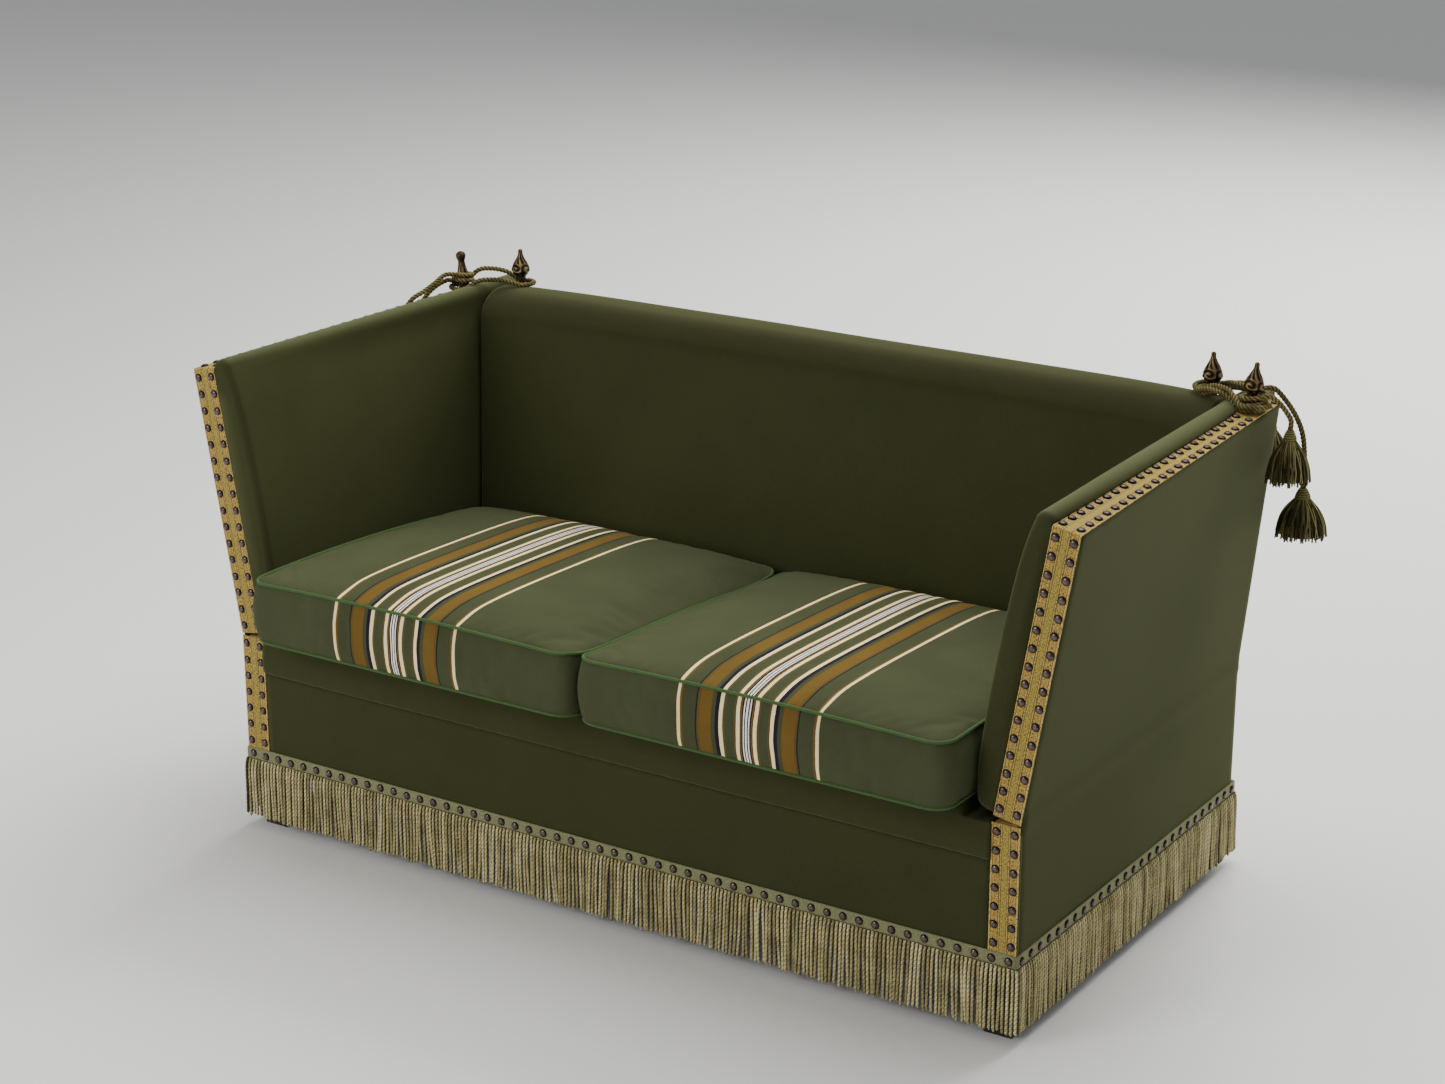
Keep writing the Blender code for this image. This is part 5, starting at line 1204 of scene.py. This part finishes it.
def make_arm_pad(word, side):
    """The stuffed inside of an arm, rounded at its front end and drawn in along the seat."""
    front, back, rounding = FRONT_Y - BRAID_THICKNESS, ARM_BACK_Y, 0.012
    stations = [(front + rounding * (1 - math.cos(turn)), rounding * (1 - math.sin(turn)))
                for turn in [math.pi / 2 * i / 7 for i in range(7)]]
    stations += [(y, 0.0) for y in np.linspace(front + rounding, back - rounding, 110)]
    stations += [(back - rounding * 0.3, rounding * 0.10), (back, rounding * 0.45)]
    rows = []
    for y, shrink in stations:
        outline = pad_outline(word, y, shrink)
        row = []
        for number, (inward, up) in enumerate(outline):
            soft = 0.0010 * ripple(y, up, 8.0 + side) * (number < 80)
            pull = 0.0012 * math.sin(math.tau * y / 0.042 + 2 * math.sin(y * 11)) * math.exp(-up / 0.03)
            row.append(arm_point(side, inward + soft + pull * (number < 88), y, up))
        rows.append(row)
    heap = Heap()
    heap.add(rows, [y for y, _ in stations], [*np.linspace(0, 1, len(rows[0])), 1.02], wrap=True, cap=True)
    # The arm pad's cloth carries a painted highlight on its upward faces.
    pad = heap.make(f"arm_padding_{word}", TOP_HIGHLIGHT_WOOL)
    settle(pad, f"arm_{word}", "olive_wool", f"arm_{word}_pad")


def back_half_width(z):
    return arm_point(1, PAD_OUT + PAD_SWELL_BACK, BACK_Y, max(0.0, z - HINGE_HEIGHT)).x - 0.0054


BACK_AT_DECK, BACK_AT_TOP = FRONT_Y + 0.588, FRONT_Y + 0.652
BACK_CROWN = 0.026
BACK_ROLL_RISE = 0.052
TOP_RISE = 0.0065


def back_outline(bulge):
    """The pad from the side: a swollen face, and a top whose front edge is fuller between the ends."""
    low, middle = DECK_HEIGHT + GAP, BACK_HEIGHT - BACK_ROLL_RISE
    shares = ((0.0, 0.10), (0.08, 0.62), (0.22, 0.95), (0.42, 1.0), (0.62, 0.72), (0.82, 0.30))
    points = [(between(BACK_AT_DECK, BACK_AT_TOP, level) - BACK_CROWN * crown * bulge,
               between(low, middle, level), 0) for level, crown in shares]
    centre, half = (BACK_AT_TOP + BACK_Y - GAP) / 2, (BACK_Y - GAP - BACK_AT_TOP) / 2
    for step in range(13):
        angle = math.pi * (1 - step / 12)
        power = 1 - 0.30 * bulge if angle > math.pi / 2 else 1.0
        across = math.copysign(abs(math.cos(angle)) ** power, math.cos(angle))
        upward = max(0.0, math.sin(angle)) ** power
        points.append((centre + half * across, middle + BACK_ROLL_RISE * upward, 0))
    curve = [(y, z) for y, z, _ in even_points(fine_curve(points), 92)]
    over_rail, before_posts, behind_rail = BACK_HEIGHT - 0.017, BACK_Y - 0.0721, BACK_Y - 0.031
    return curve + [(behind_rail, BACK_HEIGHT - 0.041), (behind_rail, over_rail),
                    (before_posts, over_rail), (before_posts, low)]


def make_back_pad():
    """The stuffed inside back, its top a little higher between the corners."""
    rows = []
    shares = np.sin(np.linspace(-math.pi / 2, math.pi / 2, 91) * 0.93) / math.sin(math.pi / 2 * 0.93)
    for share in shares:
        row = []
        for number, (y, z) in enumerate(back_outline(1 - abs(share) ** 4)):
            x = share * back_half_width(z)
            soft = 0.0014 * ripple(x, z, 12.0) * (number < 86)
            near_top = clamp((z - BACK_HEIGHT + 0.09) / 0.09) * (number < 93)
            rise = TOP_RISE * (1 - abs(share) ** 6) * near_top
            row.append((x, y + soft, z + rise + 0.0006 * ripple(x, y, 13.0) * (60 < number < 86)))
        rows.append(row)
    heap = Heap()
    heap.add(rows, shares, [*np.linspace(0, 1, len(rows[0])), 1.02], wrap=True, cap=True)
    # The back pad's cloth carries painted shade on its upward faces.
    pad = settle(heap.make("back_padding", TOP_SHADE_WOOL), "root", "olive_wool", "back_pad")


def make_outside_back():
    """The cloth across the back: full width at the base, then between the arms."""
    heap = Heap()
    top, middle, low = BACK_HEIGHT - POST_DROP, HINGE_HEIGHT - 0.0038, 0.116
    shares = np.linspace(-1, 1, 90)
    spans = ((low, middle, 24, lambda z: RAIL_OUT_X), (middle, top, 44, back_half_width))
    for z_low, z_high, cells, half in spans:
        zs = np.linspace(z_low, z_high, cells)
        outer, inner = [], []
        for z in zs:
            reach = half(z)
            row = []
            for x in shares * reach:
                off_edge = 1 - min(1.0, (reach - abs(x)) / 0.010)
                turn_in = 0.0025 * (1 - math.sqrt(1 - off_edge ** 2))
                row.append((x, BACK_Y - turn_in - 0.0006 * ripple(x, z, 15.0), z))
            outer.append(row)
            inner.append([(x, OUTSIDE_BACK_Y + 0.0005, z) for x in shares * reach])
        add_shell(heap, outer, inner, zs, shares)
    settle(heap.make("outside_back_cloth", WOOL), "root", "olive_wool", "outside_back")


# Webbing and the cloth under it

WEBBING_TOP = 0.115 - GAP
STRAP_WIDTH = 0.050
STRAP = 0.0011
FOOT_WIDTH = 0.060


def strap_middles(low, high, count):
    return [between(low + STRAP_WIDTH / 2, high - STRAP_WIDTH / 2, i / (count - 1)) for i in range(count)]


def make_webbing():
    """Jute straps woven over and under each other, tacked under the rails."""
    reach, clear = RAIL_OUT_X - 0.011, FOOT_WIDTH + 0.011
    front, back = FRONT_Y + COVER + 0.011, POST_BACK_Y - 0.011
    xs = strap_middles(-reach + clear, reach - clear, 7)
    ys = strap_middles(front + clear, back - clear, 4)
    edges = np.linspace(-STRAP_WIDTH / 2, STRAP_WIDTH / 2, 9)
    heap = Heap()
    layers = ((True, xs, ys, front, back), (False, ys, xs, -reach, reach))
    for lengthwise, middles, crossings, low, high in layers:
        stations = np.linspace(low, high, round((high - low) / 0.006) + 1)
        for number, middle in enumerate(middles):
            rows = []
            for at in stations:
                over = 0.5
                for place, crossing in enumerate(crossings):
                    near = clamp(1 - (abs(at - crossing) - STRAP_WIDTH / 2) / 0.020)
                    upper = (number + place) % 2 == int(lengthwise)
                    over += (0.5 if upper else -0.5) * near * near * (3 - 2 * near)
                bottom = WEBBING_TOP - 2 * STRAP - 0.0001 + over * (STRAP + 0.0001)
                section = [(middle + edge, bottom + STRAP) for edge in edges]
                section += [(middle + edge, bottom) for edge in edges[::-1]]
                rows.append([(place, at, z) if lengthwise else (at, place, z) for place, z in section])
            heap.add(rows, stations, np.linspace(0, 0.1, 19), wrap=True, cap=True)
    settle(heap.make("woven_webbing", JUTE), "root", "jute", "seat_webbing")


def make_bottom_cloth():
    """Black cloth under the webbing, notched round the feet, sagging a little between its tacks."""
    top = WEBBING_TOP - 0.0022 - GAP
    x_out, x_in = RAIL_OUT_X - 0.010, RAIL_OUT_X - FOOT_WIDTH - 0.010
    front, back = FRONT_Y + COVER + 0.010, POST_BACK_Y - 0.010
    front_in, back_in = FRONT_Y + 0.090, POST_BACK_Y - FOOT_WIDTH - 0.010
    xs = np.concatenate([[-x_out], np.linspace(-x_in, x_in, 81), [x_out]])
    ys = np.concatenate([[front], np.linspace(front_in, back_in, 41), [back]])

    def sag(x, y):
        along = (2 * y - front - back) / (back - front)
        inside = max(0.0, 1 - (x / x_in) ** 2) * max(0.0, 1 - along ** 2)
        return inside * (0.0065 + 0.0008 * ripple(x * 2, y * 2, 17.0))

    heap = Heap()
    spans = ((xs[1:-1], ys), (xs[:2], ys[1:-1]), (xs[-2:], ys[1:-1]))
    for part_xs, part_ys in spans:
        outer = [[(x, y, top - sag(x, y)) for y in part_ys] for x in part_xs]
        inner = [[(x, y, top - 0.001 - sag(x, y)) for y in part_ys] for x in part_xs]
        add_shell(heap, outer, inner, part_xs, part_ys)
    cloth = settle(heap.make("black_bottom_sheet", BLACK_CLOTH), "root", "black_cloth", "bottom_cloth")


for word, side in SIDES:
    make_side_cloth(word, side)
    make_arm_pad(word, side)
make_front_cloth()
make_lip()
make_deck()
make_back_pad()
make_outside_back()
make_webbing()
make_bottom_cloth()


# Cushions

PIPING_RADIUS = 0.0027
PITCH = OUTER_X - 0.082
HALF_X, HALF_Y = (PITCH - 0.006) / 2 + 0.0022, (BASE_DEPTH + CUSHION_OVERHANG - 0.236) / 2
CUSHION_LOW = DECK_HEIGHT + GAP + 0.0045
CUSHION_HIGH = CUSHION_LOW + 0.104
UNDERSIDE = CUSHION_LOW - 0.0030
CORNER = 0.034
BOW = 0.006
PRESSED = 0.0140
FALL_TO_BACK = 0.037
CROWN, CROWN_AT_BACK = 0.016, 0.020
SEAM_INSET = 0.0078
PIPING_INSET = 0.0066
HELD_INSET = 0.0090
PIPING_POINTS = 620
CELLS = 64
PLUMPED = 0.0060
FILLING_FRAMES = 20
STRIPE_MIDDLE = {"left": -0.0154, "right": -0.0071}


def in_outline(s, t, inset):
    """A point of the unit square put inside the cushion's rounded outline, drawn in by inset."""
    half_x, half_y = HALF_X - inset, HALF_Y - inset
    x, y = s * half_x, t * half_y
    most = max(abs(s), abs(t))
    if most < 1e-6:
        return x, y
    edge_x, edge_y = x / most, y / most
    centre_x, centre_y = half_x - CORNER, half_y - CORNER
    over_x, over_y = abs(edge_x) - centre_x, abs(edge_y) - centre_y
    if over_x > 0 and over_y > 0:
        away = math.hypot(over_x, over_y)
        edge_x = math.copysign(centre_x + over_x / away * CORNER, x)
        edge_y = math.copysign(centre_y + over_y / away * CORNER, y)
    share = most ** 4
    return x + (edge_x * most - x) * share, y + (edge_y * most - y) * share


def to_neighbour(x, y, inset, toward):
    """The side that meets the other cushion is full, so that the two touch in a soft valley."""
    if x * toward <= 0:
        return x
    flat = max(0.0, 1 - (abs(y) / (HALF_Y - 0.012)) ** 8)
    return x + toward * max(0.0, inset - 0.0024) * (abs(x) / (HALF_X - inset)) ** 6 * flat


def cushion_bow(x, y):
    return BOW * (1 - (x / HALF_X * y / HALF_Y) ** 2)


def seam_height(x, y, toward):
    """The upper seam: lower towards the back, and pressed down where the cushion meets its neighbour."""
    flat = max(0.0, 1 - (abs(y) / (HALF_Y - 0.020)) ** 6)
    pressed = PRESSED * max(0.0, x * toward / HALF_X) ** 12 * flat
    return CUSHION_HIGH + cushion_bow(x, y) - pressed - FALL_TO_BACK * backward(y) ** 1.6


def backward(y):
    """From 0 at the cushion's front edge to 1 at its back edge."""
    return clamp((y / HALF_Y + 1) / 2)


def make_cushion(word, side):
    """A box cushion with its piping: domed top, swollen border and underside, joined at the seams."""
    ticks = np.linspace(-1, 1, CELLS + 1)
    centre = Vector((side * PITCH / 2, FRONT_Y - CUSHION_OVERHANG + HALF_Y, 0))
    top, bottom = [], []
    for t in ticks:
        upper, lower = [], []
        for s in ticks:
            x, y = in_outline(s, t, SEAM_INSET)
            a, b = abs(x) / (HALF_X - SEAM_INSET), abs(y) / (HALF_Y - SEAM_INSET)
            dome = max(0.0, (1 - a ** 3) * (1 - b ** 3)) ** 0.52
            tuck = 0.0016 * math.sin(x * 210 + 2 * math.sin(y * 31)) * math.exp(-(1 - max(a, b)) * 26)
            crown = CROWN + CROWN_AT_BACK * backward(y) ** 2.5
            z = seam_height(x, y, -side) + crown * dome + tuck * (max(a, b) < 0.995)
            x = to_neighbour(x, y, SEAM_INSET, -side)
            upper.append((x, y, z))
            lower.append((x, y, UNDERSIDE))
        top.append(upper)
        bottom.append(lower)
    rim = [(i, CELLS) for i in range(CELLS)] + [(CELLS, CELLS - i) for i in range(CELLS)]
    rim += [(CELLS - i, 0) for i in range(CELLS)] + [(0, i) for i in range(CELLS)]

    def round_rim(inset):
        places = [(i, j, *in_outline(ticks[j], ticks[i], inset)) for i, j in rim]
        return [(i, j, to_neighbour(x, y, inset, -side), y) for i, j, x, y in places]

    rows = [[bottom[i][j] for i, j in rim]]
    for step in range(1, 12):
        swell = math.sin(math.pi * step / 12) ** 0.7
        rows.append([(x, y, between(UNDERSIDE, top[i][j][2], step / 12))
                     for i, j, x, y in round_rim(SEAM_INSET * (1 - swell))])
    rows.append([top[i][j] for i, j in rim])
    heap = Heap()
    middle = STRIPE_MIDDLE[word]
    for grid in (np.array(top), np.array(bottom)):
        heap.add(grid, grid[:, :, 0] - middle, grid[:, :, 1])
    sides = np.array(rows)
    closed = np.concatenate([sides, sides[:, :1]], 1)
    heap.add(sides, closed[:, :, 0] - middle, closed[:, :, 1] + closed[:, :, 2], wrap=True)
    cushion = heap.make(f"cushion_{word}", STRIPED, weld=1e-5)
    cushion.location = centre
    plump(cushion, -side)
    cushion.modifiers.new("finer", "SUBSURF").levels = 1
    settle(cushion, f"cushion_{word}", "cushion_wool", f"seat_cushion_{word}")
    piping = Heap()
    angles = turns(12)
    for upper in (False, True):
        path = [centre + Vector((x, y, seam_height(x, y, -side) if upper else CUSHION_LOW))
                for _, _, x, y in round_rim(PIPING_INSET)]
        route = even_points(path + path[:1], PIPING_POINTS)[:-1]
        rings = [ring(point, across, side_way, angles, np.full(12, PIPING_RADIUS))
                 for point, (across, side_way) in zip(route, frames_along(route, closed=True))]
        lengths = np.arange(PIPING_POINTS + 1) * run_lengths(path)[-1] / PIPING_POINTS
        piping.add([*rings, rings[0]], lengths[:, None] * 0 + np.linspace(0, 0.028, 13),
                   np.tile(lengths[:, None], (1, 13)), wrap=True)
    settle(piping.make(f"piping_{word}", PIPING), f"cushion_{word}", "cushion_wool")


def plump(cushion, toward):
    """Let the filling press the cover out, with the seams and the underside held."""
    mesh = cushion.data
    rest = [vertex.co.copy() for vertex in mesh.vertices]
    held = []
    for number, (x, y, z) in enumerate(rest):
        at_edge = max(abs(x) / (HALF_X - HELD_INSET), abs(y) / (HALF_Y - HELD_INSET)) > 0.998
        if z < CUSHION_LOW or at_edge and z > seam_height(x, y, toward) - 0.004:
            held.append(number)
    group = cushion.vertex_groups.new(name="held")
    group.add(held, 1.0, "REPLACE")
    modifier = cushion.modifiers.new("filling", "CLOTH")
    settings = {"quality": 6, "mass": 0.25, "tension_stiffness": 18, "compression_stiffness": 12,
                "shear_stiffness": 8, "bending_stiffness": 1.5, "shrink_min": -0.012, "use_pressure": True,
                "uniform_pressure_force": 4.0, "vertex_group_mass": "held"}
    for key, value in settings.items():
        setattr(modifier.settings, key, value)
    modifier.settings.effector_weights.gravity = 0.0
    modifier.collision_settings.use_collision = False
    modifier.point_cache.frame_start = 1
    modifier.point_cache.frame_end = FILLING_FRAMES
    for number in range(1, FILLING_FRAMES + 1):
        SCENE.frame_set(number)
    evaluated = cushion.evaluated_get(bpy.context.evaluated_depsgraph_get())
    moved = [vertex.co.copy() for vertex in evaluated.data.vertices]
    cushion.modifiers.remove(modifier)
    SCENE.frame_set(1)
    for vertex, old, new in zip(mesh.vertices, rest, moved):
        shift = new - old
        if shift.length > 0:
            shift *= PLUMPED * math.tanh(shift.length / PLUMPED) / shift.length
        vertex.co = old + shift
        vertex.co.x = max(-HALF_X, min(HALF_X, vertex.co.x))


for word, side in SIDES:
    make_cushion(word, side)


# Floor and light
FAR = 40
floor_mesh = bpy.data.meshes.new("floor")
floor_mesh.from_pydata([(-FAR, -FAR, 0), (FAR, -FAR, 0), (FAR, FAR, 0), (-FAR, FAR, 0)], [], [(0, 1, 2, 3)])
floor = bpy.data.objects.new("floor", floor_mesh)
SCENE.collection.objects.link(floor)
floor_mesh.materials.append(Finish("pale_floor", 0.75, Base_Color=rgb(240, 240, 239)).material)


def add_light(name, place, target, size, energy, colour):
    """A square soft light, size metres wide, of energy watts."""
    light = bpy.data.objects.new(name, bpy.data.lights.new(name, "AREA"))
    SCENE.collection.objects.link(light)
    light.location = place
    light.rotation_euler = (Vector(target) - Vector(place)).to_track_quat("-Z", "Y").to_euler()
    light.data.size = size
    light.data.energy = energy
    light.data.color = colour
    return light


add_light("window_light", (-1.8, -4.0, 2.4), (0, 0, 0.4), 2.2, 102, (1.0, 0.98, 0.95))
add_light("top_light", (0.0, 0.6, 3.2), (0.0, 0, 0.4), 2.6, 78, (1.0, 0.99, 0.97))
add_light("side_light", (4.0, -0.6, 1.9), (0, 0, 0.4), 2.2, 4, (1.0, 0.99, 0.96))
behind = add_light("back_light", (0.4, 5.5, 4.4), (0, 0, 0.7), 4.5, 620, (1.0, 0.99, 0.97))
behind.visible_glossy = False
world = bpy.data.worlds.new("studio")
world.use_nodes = True
world.node_tree.nodes["Background"].inputs["Color"].default_value = (0.93, 0.94, 0.95, 1.0)
world.node_tree.nodes["Background"].inputs["Strength"].default_value = 0.35
SCENE.world = world

# Finishes of the solids that show as they are
PLAIN = {"beech": BEECH, "dark_wood": DARK_WOOD, "jute": JUTE, "black_cloth": BLACK_CLOTH,
         "spring_steel": STEEL, "hinge_steel": STEEL, "bronze": BRONZE, "olive_wool": WOOL,
         "cushion_wool": STRIPED, "gold_braid": BRAID, "bullion": BULLION, "cord": ROPE}
for row in frame["record"]["subparts"]:
    for slot in frame["nodes"][row["node"]].material_slots:
        slot.material = PLAIN[row["material_slot"]]
